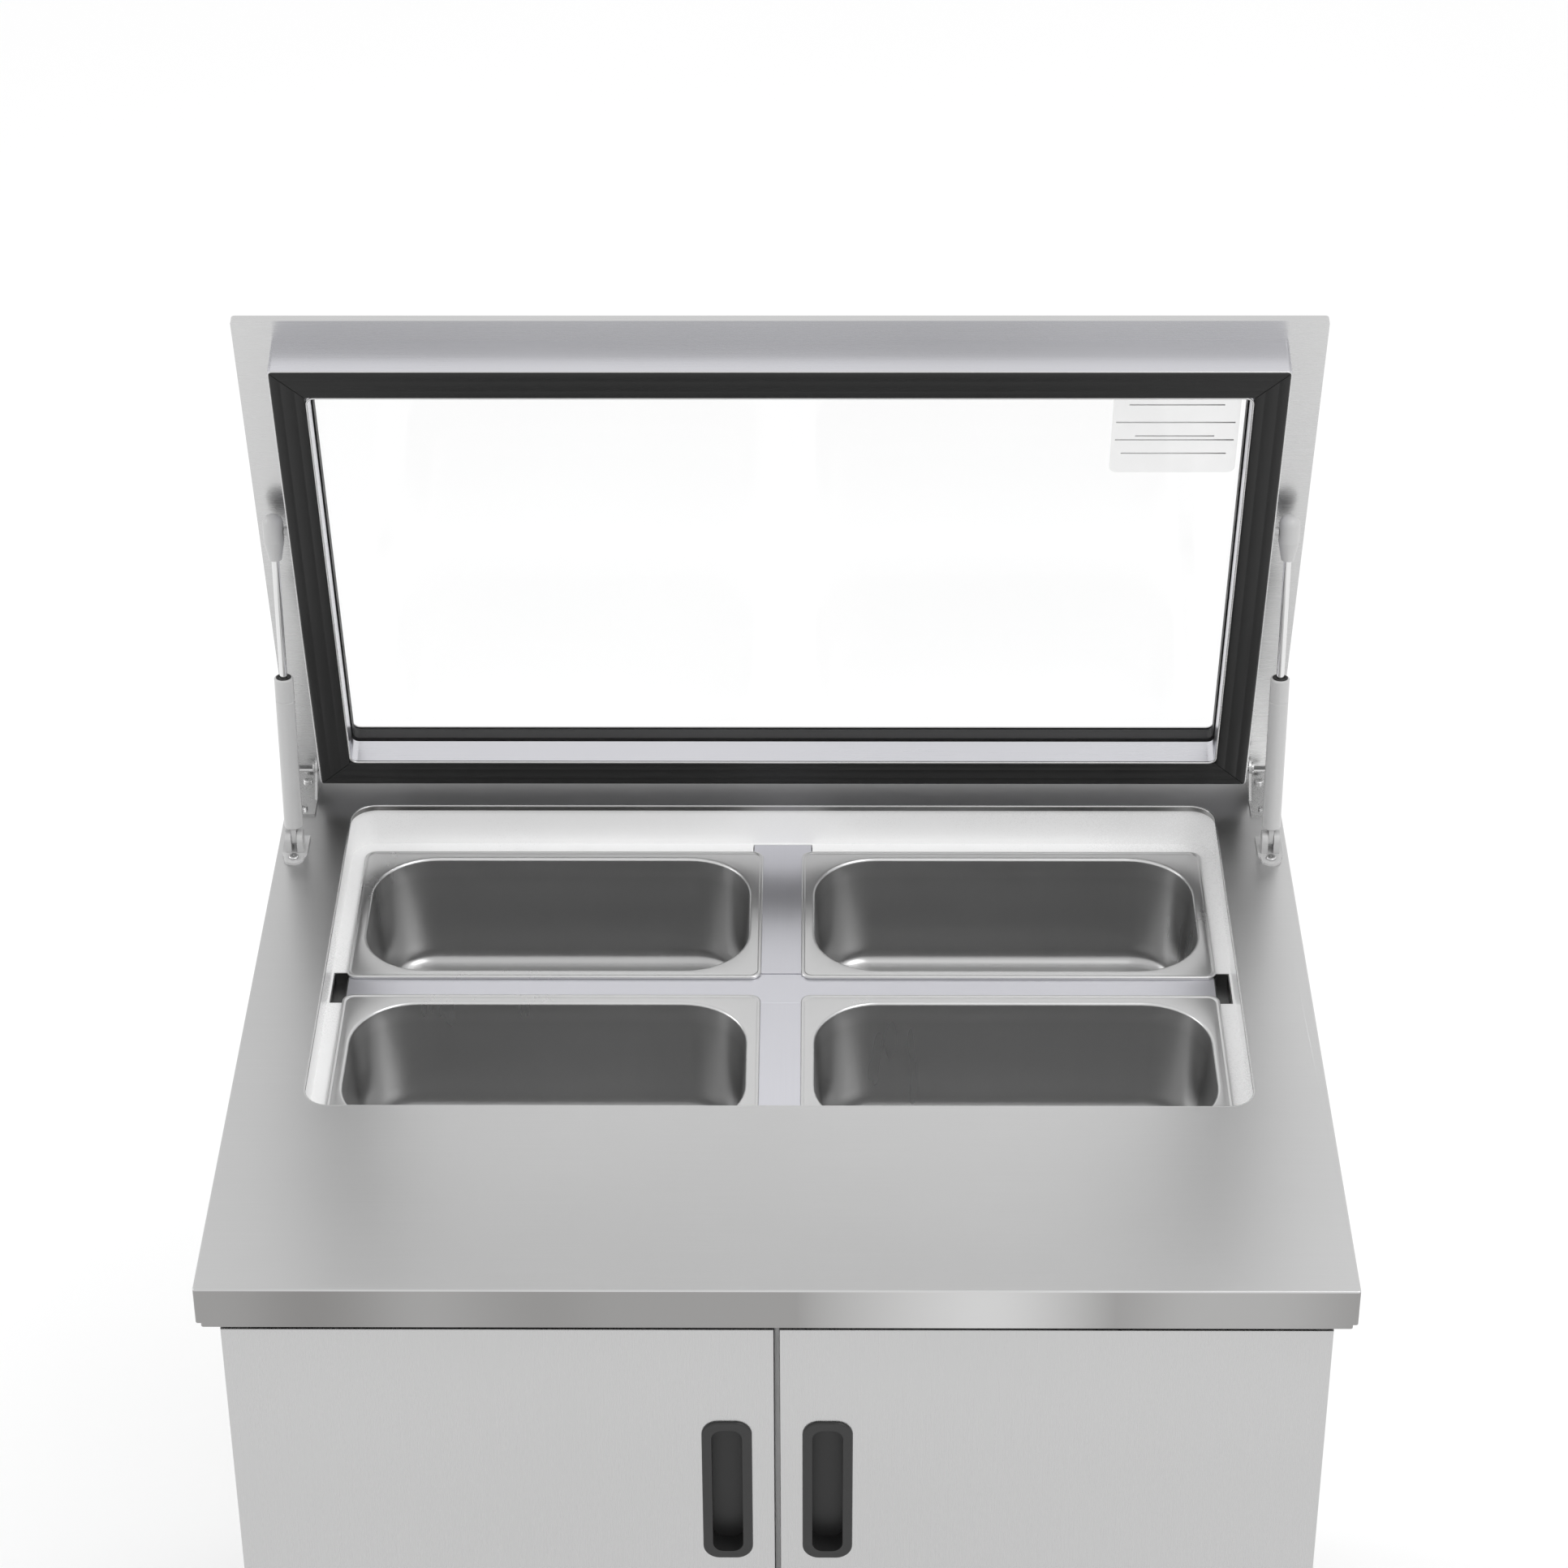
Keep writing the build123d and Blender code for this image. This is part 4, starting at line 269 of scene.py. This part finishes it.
def galvanised(name):
    """Zinc-coated sheet with a spangle of dull crystals."""
    finish = Finish(name)
    spot = finish.place()
    spangle = finish.value("ShaderNodeTexVoronoi", None, {"Vector": spot, "Scale": 90.0}, 1)
    tone = finish.value("ShaderNodeSeparateColor", None, {0: spangle}, 0)
    return finish.surface({
        "Base Color": finish.mix(tone, grey(0.42, (0.97, 1, 1.02)), grey(0.6, (0.97, 1, 1.02))),
        "Metallic": 1.0,
        "Roughness": 0.38 + tone * 0.14,
        "Normal": finish.bump(tone, 0.05, 0.0002),
    })


def moulded_foam(name):
    """Rigid foam: small open cells under a dull skin."""
    finish = Finish(name)
    cells = finish.value("ShaderNodeTexVoronoi", None, {"Vector": finish.place(), "Scale": 420.0})
    clouds = finish.noise((9.0, 9.0, 9.0), 3.0)
    return finish.surface({
        "Base Color": finish.mix((cells * 0.8 + clouds * 0.4).clamp(), grey(0.5, (1, 0.93, 0.74)),
                                 grey(0.78, (1, 0.95, 0.8))),
        "Roughness": 0.85 + clouds * 0.1,
        "Normal": finish.bump(cells, 0.3, 0.0004),
    })


FINISHES = {
    "worktop_steel": worktop_steel("brushed_worktop_sheet_painted_reflections"),
    "cabinet_steel": brushed_steel("brushed_cabinet_sheet", 0.5, 2, 0.27),
    "lid_steel": brushed_steel("brushed_lid_sheet", 0.6, 0, 0.27),
    "pan_steel": drawn_steel_painted_shade("drawn_pan_sheet_painted_shade"),
    "hardware_steel": coated("zinc_plate", 0.6, 0.28, 1.0),
    "frame_aluminium": brushed_steel("brushed_door_frame", 0.6, 0, 0.32),
    "chrome_rod": coated("hard_chrome", 0.72, 0.1, 1.0, relief=0.01),
    "strut_grey": coated("grey_strut_paint", 0.46, 0.34, relief=0.04, coat=0.25),
    "strut_plastic": coated("grey_socket_nylon", 0.47, 0.34, relief=0.05),
    "white_plastic": coated("white_liner", 0.9, 0.28, relief=0.03),
    "black_rubber": coated("black_lid_rubber", 0.012, 0.48, relief=0.08, shine=0.3),
    "grey_gasket": coated("grey_door_rubber", 0.14, 0.55, relief=0.08),
    "glass": glazing("clear_float_glass"),
    "foam": moulded_foam("rigid_foam"),
    "black_plastic": coated("black_moulding", 0.02, 0.42, relief=0.14, shine=0.4),
    "black_paint": coated("black_enamel", 0.016, 0.32, relief=0.05, coat=0.3),
    "copper": coated("copper_tube", 0.75, 0.26, 1.0, (1, 0.55, 0.36)),
    "aluminium_fins": brushed_steel("rolled_fin_stock", 0.72, 2, 0.33),
    "plated_wire": coated("nickel_wire", 0.66, 0.18, 1.0, relief=0.02),
    "galvanised": galvanised("zinc_coated_sheet"),
}
SPECIAL = {
    "lid_frame": brushed_steel("brushed_lid_box", 0.66, 0, 0.28, (0.98, 0.98, 1.03)),
    "crossbar": brushed_steel("brushed_crossbar", 0.66, 0, 0.3, (0.97, 0.97, 1.03)),
    "front_divider": brushed_steel("brushed_dividers", 0.66, 1, 0.3, (0.97, 0.97, 1.03)),
    "worktop_core": coated("foil_facing", 0.34, 0.5, 0.6),
    "left_door_inner": coated("white_door_liner", 0.8, 0.32, relief=0.05),
}
SPECIAL["rear_divider"] = SPECIAL["front_divider"]
SPECIAL["right_door_inner"] = SPECIAL["left_door_inner"]
# Near-black steel used as painted shade in the crossbar's notches.
PAINTED_NOTCH_SHADE = coated("painted_notch_shade", 0.16, 0.35, 1.0)
PAINT_WHITE = coated("white_marking_paint", 0.82, 0.5)
LABEL_FILM = clear_film("blank_label_film", 0.1)
LABEL_RULES = coated("label_rules", 0.62, 0.6, relief=0.01)

for part in frame["record"]["subparts"]:
    holder = frame["nodes"][part["node"]]
    holder.data.materials.clear()
    holder.data.materials.append(SPECIAL.get(part["node"], FINISHES[part["material_slot"]]))


# ---- Surfaces worked out as grids of points
def grid_faces(rows, columns, close_rows):
    """Quads between neighbours on a grid whose columns, and if asked its rows, close on themselves."""
    row = np.arange(rows if close_rows else rows - 1)[:, None]
    column = np.arange(columns)[None, :]
    below = (row + 1) % rows
    beside = (column + 1) % columns
    corners = (row * columns + column, row * columns + beside, below * columns + beside,
               below * columns + column)
    return np.stack(np.broadcast_arrays(*corners), axis=-1).reshape(-1, 4)


def piece(name, grids, body, slot, material=None, close_rows=False, caps=(False, False), crease=None):
    """One mesh from grids of points (row, column, xyz) whose columns run round a closed path; caps
    fill a grid's first and last ring, and crease keeps edges sharper than an angle in degrees."""
    vertices = np.concatenate([grid.reshape(-1, 3) for grid in grids])
    faces = []
    start = 0
    for grid in grids:
        rows, columns, _ = grid.shape
        faces += (start + grid_faces(rows, columns, close_rows)).tolist()
        ring = start + np.arange(columns)
        if caps[0]:
            faces.append(ring[::-1].tolist())
        if caps[1]:
            faces.append((ring + (rows - 1) * columns).tolist())
        start += rows * columns
    mesh = bpy.data.meshes.new(name)
    mesh.from_pydata(vertices.tolist(), [], faces)
    mesh.shade_smooth()
    if crease is not None:
        mesh.set_sharp_from_angle(angle=radians(crease))
    mesh.materials.append(material or FINISHES[slot])
    made = bpy.data.objects.new(name, mesh)
    bpy.context.scene.collection.objects.link(made)
    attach(made, body)
    return made


def column(values):
    """A list of numbers stood up as one column, so that each one drives a row of a grid."""
    return np.asarray(values, float)[:, None]


def rounded_rings(half_x, half_y, radius, height, count=10):
    """Rounded rectangles, one a row: a corner is a quarter circle about a centre that stands its
    radius in from both sides, x = +-(half_x - r) + r cos a, y = +-(half_y - r) + r sin a."""
    angle = ((np.arange(4)[:, None] + np.linspace(0, 1, count)) * pi / 2).reshape(1, -1)
    side_x = np.repeat([1, -1, -1, 1], count)[None, :]
    side_y = np.repeat([1, 1, -1, -1], count)[None, :]
    x = side_x * (half_x - radius) + radius * np.cos(angle)
    y = side_y * (half_y - radius) + radius * np.sin(angle)
    return np.stack([x, y, np.broadcast_to(height, x.shape)], axis=-1)


def turned(radius, height, count=64, flutes=0, depth=0.0):
    """A turned form: a profile (radius, height) carried round an axis, its radius reduced by
    depth times (1 + cos(flutes a)) / 2 at angle a."""
    angle = np.linspace(0, 2 * pi, count, endpoint=False)[None, :]
    reach = radius - depth * (1 + np.cos(flutes * angle)) / 2
    return np.stack([reach * np.cos(angle), reach * np.sin(angle),
                     np.broadcast_to(height, reach.shape)], axis=-1)


def laid(grid, origin, side, up, out):
    """A grid carried onto three axes at an origin: origin + x side + y up + z out."""
    return np.asarray(origin) + grid @ np.stack([side, up, out])


def on_lid(grid):
    """A grid in the lid's plane, centred on its box, carried into the open lid."""
    return laid(grid, HINGE + ALONG * LID_MIDDLE, ACROSS, ALONG, OUT)


def node_span(node, origin, axis):
    """How far a node reaches from an origin along an axis: its lowest and highest distance."""
    mesh = frame["nodes"][node].data
    points = np.empty(len(mesh.vertices) * 3, np.float32)
    mesh.vertices.foreach_get("co", points)
    reach = (points.reshape(-1, 3) - origin) @ axis
    return reach.min(), reach.max()


COLLAR_WALL = 4.5 * MM     # the collar's outside to the opening's edge
WELL_CORNER = 20 * MM
PAN_SHEET = 0.8 * MM
DIAL_RING = 24 * MM        # the knob's axis to the marks round it
DIAL_MARKS = 11
DIAL_START = -135.0        # degrees from straight up to the first mark
DIAL_STEP = 27.0
LABEL_HALF = (48 * MM, 58 * MM)
LABEL_RULE_ROWS = ((-38, 40), (-24, 45), (-20, 30), (-6, 45), (12, 36), (26, 42))

LID_LENGTH = node_span("lid_frame", HINGE, ALONG)
LID_MIDDLE = sum(LID_LENGTH) / 2
BOX_HALF = (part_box("lid_frame")[1].x, (LID_LENGTH[1] - LID_LENGTH[0]) / 2)
LID_BAND = 26 * MM
WINDOW_HALF = (BOX_HALF[0] - LID_BAND, BOX_HALF[1] - LID_BAND)
GASKET_W = node_span("lid_gasket", HINGE, OUT)


# ---- Food pans
def drawn_pan(low, high):
    """The top skin of a drawn pan as rings of a rounded rectangle. Row by row the profile goes up
    the turned-down edge, round its bead, over a shallow groove to the flat, round the mouth's roll,
    down a wall that tapers 4 degrees and round the floor's corner to the middle."""
    half_x = (high.x - low.x) / 2
    half_y = (high.y - low.y) / 2
    rim = high.z
    turn = np.linspace(0, pi / 2, 6)
    bead = 1.4 * MM
    roll = 2.6 * MM
    flat = rim - 0.7 * MM
    mouth = 10.9 * MM
    taper = np.tan(radians(4.0))
    floor_turn = 14 * MM
    wall_drop = flat - roll - low.z - floor_turn
    share = np.linspace(0, 1, 9)[1:]
    deep = mouth + wall_drop * taper
    inset = np.concatenate([
        [0.0], bead * (1 - np.cos(turn)), np.array([2.4, 2.9, 3.3, 4.0]) * MM,
        mouth - roll * (1 - np.sin(turn)), mouth + share * wall_drop * taper,
        deep + floor_turn * (1 - np.cos(turn[1:])), [deep + 22 * MM, deep + 45 * MM, deep + 58 * MM]])
    height = np.concatenate([
        [LEDGE_Z + 0.05 * MM], rim - bead + bead * np.sin(turn),
        rim - np.array([0.0, 0.75, 0.8, 0.7]) * MM, flat - roll * (1 - np.cos(turn)),
        flat - roll - share * wall_drop, low.z + PAN_SHEET
        + (floor_turn - PAN_SHEET) * (1 - np.sin(turn[1:])), np.full(3, low.z + PAN_SHEET)])
    radius = np.concatenate([
        [8 * MM], 8 * MM - 0.5 * inset[1:7], np.full(4, 7 * MM), 50 * MM + roll * (1 - np.sin(turn)),
        (50 - 8 * share) * MM, (42 - 10 * np.sin(turn[1:])) * MM, np.array([28, 14, 4]) * MM])
    inset = column(inset)
    rings = rounded_rings(half_x - inset, half_y - inset, column(radius), column(height), 12)
    return rings + np.array([(low.x + high.x) / 2, (low.y + high.y) / 2, 0])


for name in ("front_left_pan", "front_right_pan", "rear_left_pan", "rear_right_pan"):
    pan = piece(f"{name}_drawn", [drawn_pan(*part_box(name))], name, "pan_steel", caps=(False, True))
    wall = pan.modifiers.new("sheet", "SOLIDIFY")
    wall.thickness = PAN_SHEET
    wall.offset = -1.0
    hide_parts(name)


# ---- Gaskets and beads carried round a rectangle
def mitred_band(half_x, half_y, across, rise, dip):
    """A profile (distance in from the outer edge, rise) carried round a rectangle. The middle
    points of each corner sink by dip, which leaves a fine mitre line there."""
    rings = rounded_rings(half_x - column(across), half_y - column(across), 1.2 * MM, column(rise), 7)
    corner = np.tile([0, 0, 0, 1, 0, 0, 0], 4)
    rings[..., 2] -= dip * corner * (column(rise) > 1.5 * MM)
    return rings


def bead_ring(half_x, half_y, radius, thickness, height):
    """A round wire of one thickness carried round a rounded rectangle."""
    turn = np.linspace(0, 2 * pi, 12, endpoint=False)
    grow = column(thickness * np.cos(turn))
    level = height + column(thickness * np.sin(turn))
    return rounded_rings(half_x + grow, half_y + grow, radius + grow, level)


def lid_gasket():
    """The lid's rubber band: shoulders rounded by 1 mm and two shallow grooves along it."""
    rise = (GASKET_W[1] - GASKET_W[0]) / MM
    across = np.array([0.2, 0.2, 0.5, 1.2, 7.0, 7.6, 8.2, 16.8, 17.4, 18.0, 23.8, 24.5, 24.8, 24.8]) * MM
    top = np.array([0.0, rise - 1.0, rise - 0.3, rise, rise, rise - 0.25, rise, rise, rise - 0.25, rise,
                    rise, rise - 0.3, rise - 1.0, 0.0]) * MM
    band = mitred_band(BOX_HALF[0] - MM, BOX_HALF[1] - MM, across, top, 0.7 * MM)
    band[..., 2] += GASKET_W[0]
    made = piece("lid_gasket_band", [on_lid(band)], "lid", "black_rubber", close_rows=True, crease=50)
    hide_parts("lid_gasket")


lid_gasket()
piece("lid_rolled_edges", [
    on_lid(bead_ring(BOX_HALF[0] - 0.7 * MM, BOX_HALF[1] - 0.7 * MM, 3 * MM, 0.7 * MM,
                     GASKET_W[0] + 1.3 * MM)),
    on_lid(bead_ring(WINDOW_HALF[0] - 0.4 * MM, WINDOW_HALF[1] - 0.4 * MM, 6 * MM, 0.8 * MM,
                     GASKET_W[1] - 1.0 * MM)),
], "lid", "lid_steel", close_rows=True)

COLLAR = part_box("well_collar")
WELL_MIDDLE = ((COLLAR[0].x + COLLAR[1].x) / 2, (COLLAR[0].y + COLLAR[1].y) / 2)
WELL_HALF = ((COLLAR[1].x - COLLAR[0].x) / 2 - COLLAR_WALL,
             (COLLAR[1].y - COLLAR[0].y) / 2 - COLLAR_WALL)
opening_bead = bead_ring(WELL_HALF[0] + 0.1 * MM, WELL_HALF[1] + 0.1 * MM, WELL_CORNER, 0.8 * MM,
                         TOP_Z - 0.7 * MM) + np.array([*WELL_MIDDLE, 0])
piece("opening_rolled_edge", [opening_bead], "cabinet", "worktop_steel", FINISHES["lid_steel"],
      close_rows=True)

for side in ("left", "right"):
    low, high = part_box(f"{side}_door_gasket")
    across = np.array([0.6, 1.8, 0.9, 2.6, 2.6, 4.0, 10.0, 11.4, 11.4, 13.1, 12.2, 13.4]) * MM
    rise = np.array([0.0, 0.26, 0.52, 0.78, 0.96, 1.0, 1.0, 0.96, 0.78, 0.52, 0.26, 0.0])
    rise = rise * (high.y - low.y)
    bellows = laid(mitred_band((high.x - low.x) / 2, (high.z - low.z) / 2, across, rise, 0.6 * MM),
                   ((low.x + high.x) / 2, low.y, (low.z + high.z) / 2), -ACROSS, (0, 0, 1), (0, 1, 0))
    seal = piece(f"{side}_door_bellows_gasket", [bellows], f"{side}_door", "grey_gasket", close_rows=True)
    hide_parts(f"{side}_door_gasket")


# ---- Painted shade in the collar's notches: small dark trays past the ends of the crossbar, put where there is only a shaded gap
def notch_shade_tray(middle_x):
    """An open near-black tray standing in as painted shade in a notch: up its outer wall, over its edge, down its
    inner wall and across its floor.
    """
    low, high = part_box("crossbar")
    inset = column(np.array([0, 0, 0.8, 0.8, 3.0, 5.0]) * MM)
    height = column([low.z + 0.2 * MM, high.z - 0.4 * MM, high.z - 0.4 * MM, low.z + 1.0 * MM,
                     low.z + 1.0 * MM, low.z + 1.0 * MM])
    rings = rounded_rings(6.1 * MM - inset, (high.y - low.y) / 2 + 0.4 * MM - inset, 0.6 * MM, height, 4)
    return rings + np.array([middle_x, (low.y + high.y) / 2, 0])


NOTCH_SHADE_X = (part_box("crossbar")[1].x + WELL_HALF[0]) / 2
piece("crossbar_notch_painted_shade", [notch_shade_tray(-NOTCH_SHADE_X), notch_shade_tray(NOTCH_SHADE_X)], "cabinet", "black_plastic",
      PAINTED_NOTCH_SHADE, caps=(True, True), crease=30)


# ---- Strut wipers: the dark seal that the rod slides through
def rod_wiper(side):
    """A turned ring at the open end of the tube."""
    slide = np.array(JOINTS[f"{side}_strut_slide"]["axis"])
    foot = np.array(JOINTS[f"{side}_strut_pivot"]["pos_m"])
    end = foot + slide * node_span(f"{side}_strut_tube", foot, slide)[1]
    reach = column(np.array([6.0, 6.0, 5.6, 3.9, 3.15, 3.15]) * MM)
    rise = column(np.array([-0.1, 0.25, 0.4, 0.4, 0.15, -0.1]) * MM)
    ring = laid(turned(reach, rise, 40), end, ACROSS, np.cross(slide, ACROSS), slide)
    piece(f"{side}_rod_wiper", [ring], f"{side}_strut", "strut_plastic", FINISHES["black_rubber"],
          close_rows=True)


rod_wiper("left")
rod_wiper("right")


# ---- Blank label on the outside of the glass
def blank_label():
    """A rounded film with plain rules across it, on the outer pane."""
    behind = node_span("lid_outer_pane", HINGE, OUT)[0]
    middle = (WINDOW_HALF[0] - 52 * MM, WINDOW_HALF[1] - 55 * MM)

    def slip(centre, half, radius, level):
        """A thin slip, its rings going up from the inset back to the outer edge."""
        inset = column([0, 0, 0.5 * min(half)])
        rise = column([0, -0.04 * MM, -0.04 * MM]) + behind - level
        corner = column([radius, radius, radius * 0.3])
        rings = rounded_rings(half[0] - inset, half[1] - inset, corner, rise, 5)
        return on_lid((rings + np.array([*centre, 0]))[::-1])

    piece("blank_label", [slip(middle, LABEL_HALF, 6 * MM, 0.02 * MM)], "lid", "white_plastic",
          LABEL_FILM, caps=(True, True), crease=30)
    rules = [slip((middle[0], middle[1] + offset * MM), (half * MM, 0.7 * MM), 0.3 * MM, -0.03 * MM)
             for offset, half in LABEL_RULE_ROWS]
    piece("blank_label_rules", rules, "lid", "white_plastic", LABEL_RULES, caps=(True, True))


blank_label()


# ---- Thermostat knob with a fluted grip, its pointer and the marks round it
def knob_grid(profile_reach, profile_rise, flutes, depth):
    """A turned form about the knob's axis, with z out of the panel."""
    centre = JOINTS["thermostat_turn"]["pos_m"]
    grid = turned(column(profile_reach) * MM, column(profile_rise) * MM, 144, flutes, column(depth) * MM)
    return laid(grid, centre, ACROSS, (0, 0, 1), (0, -1, 0))


def control_bar(centre, half, rise, radius, turn=0.0):
    """A small upright bar with rounded corners, turned in the panel's plane about the knob."""
    inset = column([0, 0, 0.4 * MM, min(half)])
    height = column([rise[0], rise[1] - 0.4 * MM, rise[1], rise[1]])
    rings = rounded_rings(half[0] - inset * 0.98, half[1] - inset * 0.98, radius, height, 4)
    rings = rings + np.array([*centre, 0])
    spin = np.array([[cos(turn), sin(turn), 0], [-sin(turn), cos(turn), 0], [0, 0, 1]])
    return laid(rings @ spin, JOINTS["thermostat_turn"]["pos_m"], ACROSS, (0, 0, 1), (0, -1, 0))


skirt = knob_grid([19.2, 20.0, 20.0, 19.6, 17.0, 16.0, 16.0, 15.4, 14.0, 2.0],
                  [0.3, 0.6, 1.6, 2.0, 2.3, 2.8, 5.0, 5.5, 5.6, 5.6], 36,
                  [0, 0, 0, 0, 0.2, 0.9, 0.9, 0.5, 0, 0])
spindle = knob_grid([3.0, 3.0], [-14.5, 0.5], 0, [0, 0])
grip_bar = control_bar((0, 0), (2.5 * MM, 13 * MM), (5.0 * MM, 6.7 * MM), 0.05 * MM)
knob = piece("thermostat_knob_fluted", [skirt, spindle, grip_bar], "thermostat_knob", "black_plastic",
             caps=(True, True), crease=40)
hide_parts("thermostat_knob")
pointer = control_bar((0, 9 * MM), (0.6 * MM, 3.6 * MM), (6.6 * MM, 6.72 * MM), 0.02 * MM)
piece("thermostat_pointer", [pointer], "thermostat_knob", "white_plastic", PAINT_WHITE, caps=(True, True))
ticks = [control_bar((0, DIAL_RING), (0.45 * MM, 1.6 * MM), (0.0, 0.06 * MM), 0.02 * MM,
                     radians(DIAL_START + DIAL_STEP * n))
         for n in range(DIAL_MARKS)]
piece("thermostat_marks", ticks, "cabinet", "white_plastic", PAINT_WHITE, caps=(True, True))


# ---- Stage: pale floor, soft light and the camera
def stage_floor(half, level):
    """A large flat square on the ground."""
    corner = np.array([[1, 1, 0], [-1, 1, 0], [-1, -1, 0], [1, -1, 0]]) * half
    mesh = bpy.data.meshes.new("floor")
    mesh.from_pydata(corner.tolist(), [], [(0, 1, 2, 3)])
    finish = Finish("pale_floor")
    mottle = finish.noise((2.0, 2.0, 2.0), 2.0)
    mesh.materials.append(finish.surface({
        "Base Color": finish.mix(mottle, grey(level), grey(level - 0.01)), "Roughness": 0.9}))
    made = bpy.data.objects.new("floor", mesh)
    bpy.context.scene.collection.objects.link(made)


def soft_light(name, place, target, size, power):
    """A square area light that faces a point."""
    lamp = bpy.data.lights.new(name, "AREA")
    lamp.size = size
    lamp.energy = power
    holder = bpy.data.objects.new(name, lamp)
    bpy.context.scene.collection.objects.link(holder)
    aim = (Vector(target) - Vector(place)).to_track_quat("-Z", "Y").to_matrix().to_4x4()
    holder.matrix_world = Matrix.Translation(place) @ aim


stage_floor(12.0, 0.96)
soft_light("key_light", (1.6, -1.2, 3.4), (0, 0, 0.8), 1.6, 28.0)
soft_light("side_light", (-2.6, 0.4, 2.2), (0, 0, 0.8), 1.2, 12.0)

world = bpy.data.worlds.new("studio")
world.use_nodes = True
world.node_tree.nodes["Background"].inputs["Color"].default_value = (1, 1, 1, 1)
world.node_tree.nodes["Background"].inputs["Strength"].default_value = 1.0
bpy.context.scene.world = world
bpy.context.scene.view_settings.view_transform = "Standard"

CAMERA_PLACE = Vector((0.02867, -2.5728, 2.7267))
PITCH = radians(33.078)
YAW = radians(-0.557)
ROLL = radians(-0.256)
ahead = Vector((sin(YAW) * cos(PITCH), cos(YAW) * cos(PITCH), -sin(PITCH)))
level_right = Vector((cos(YAW), -sin(YAW), 0))
level_up = level_right.cross(ahead)
right = level_right * cos(ROLL) + level_up * sin(ROLL)
up = level_up * cos(ROLL) - level_right * sin(ROLL)
lens = bpy.data.cameras.new("camera")
lens.lens = 95.56
lens.sensor_width = 36.0
camera = bpy.data.objects.new("camera", lens)
camera.matrix_world = Matrix.Translation(CAMERA_PLACE) @ Matrix((right, up, -ahead)).transposed().to_4x4()
bpy.context.scene.collection.objects.link(camera)
bpy.context.scene.camera = camera
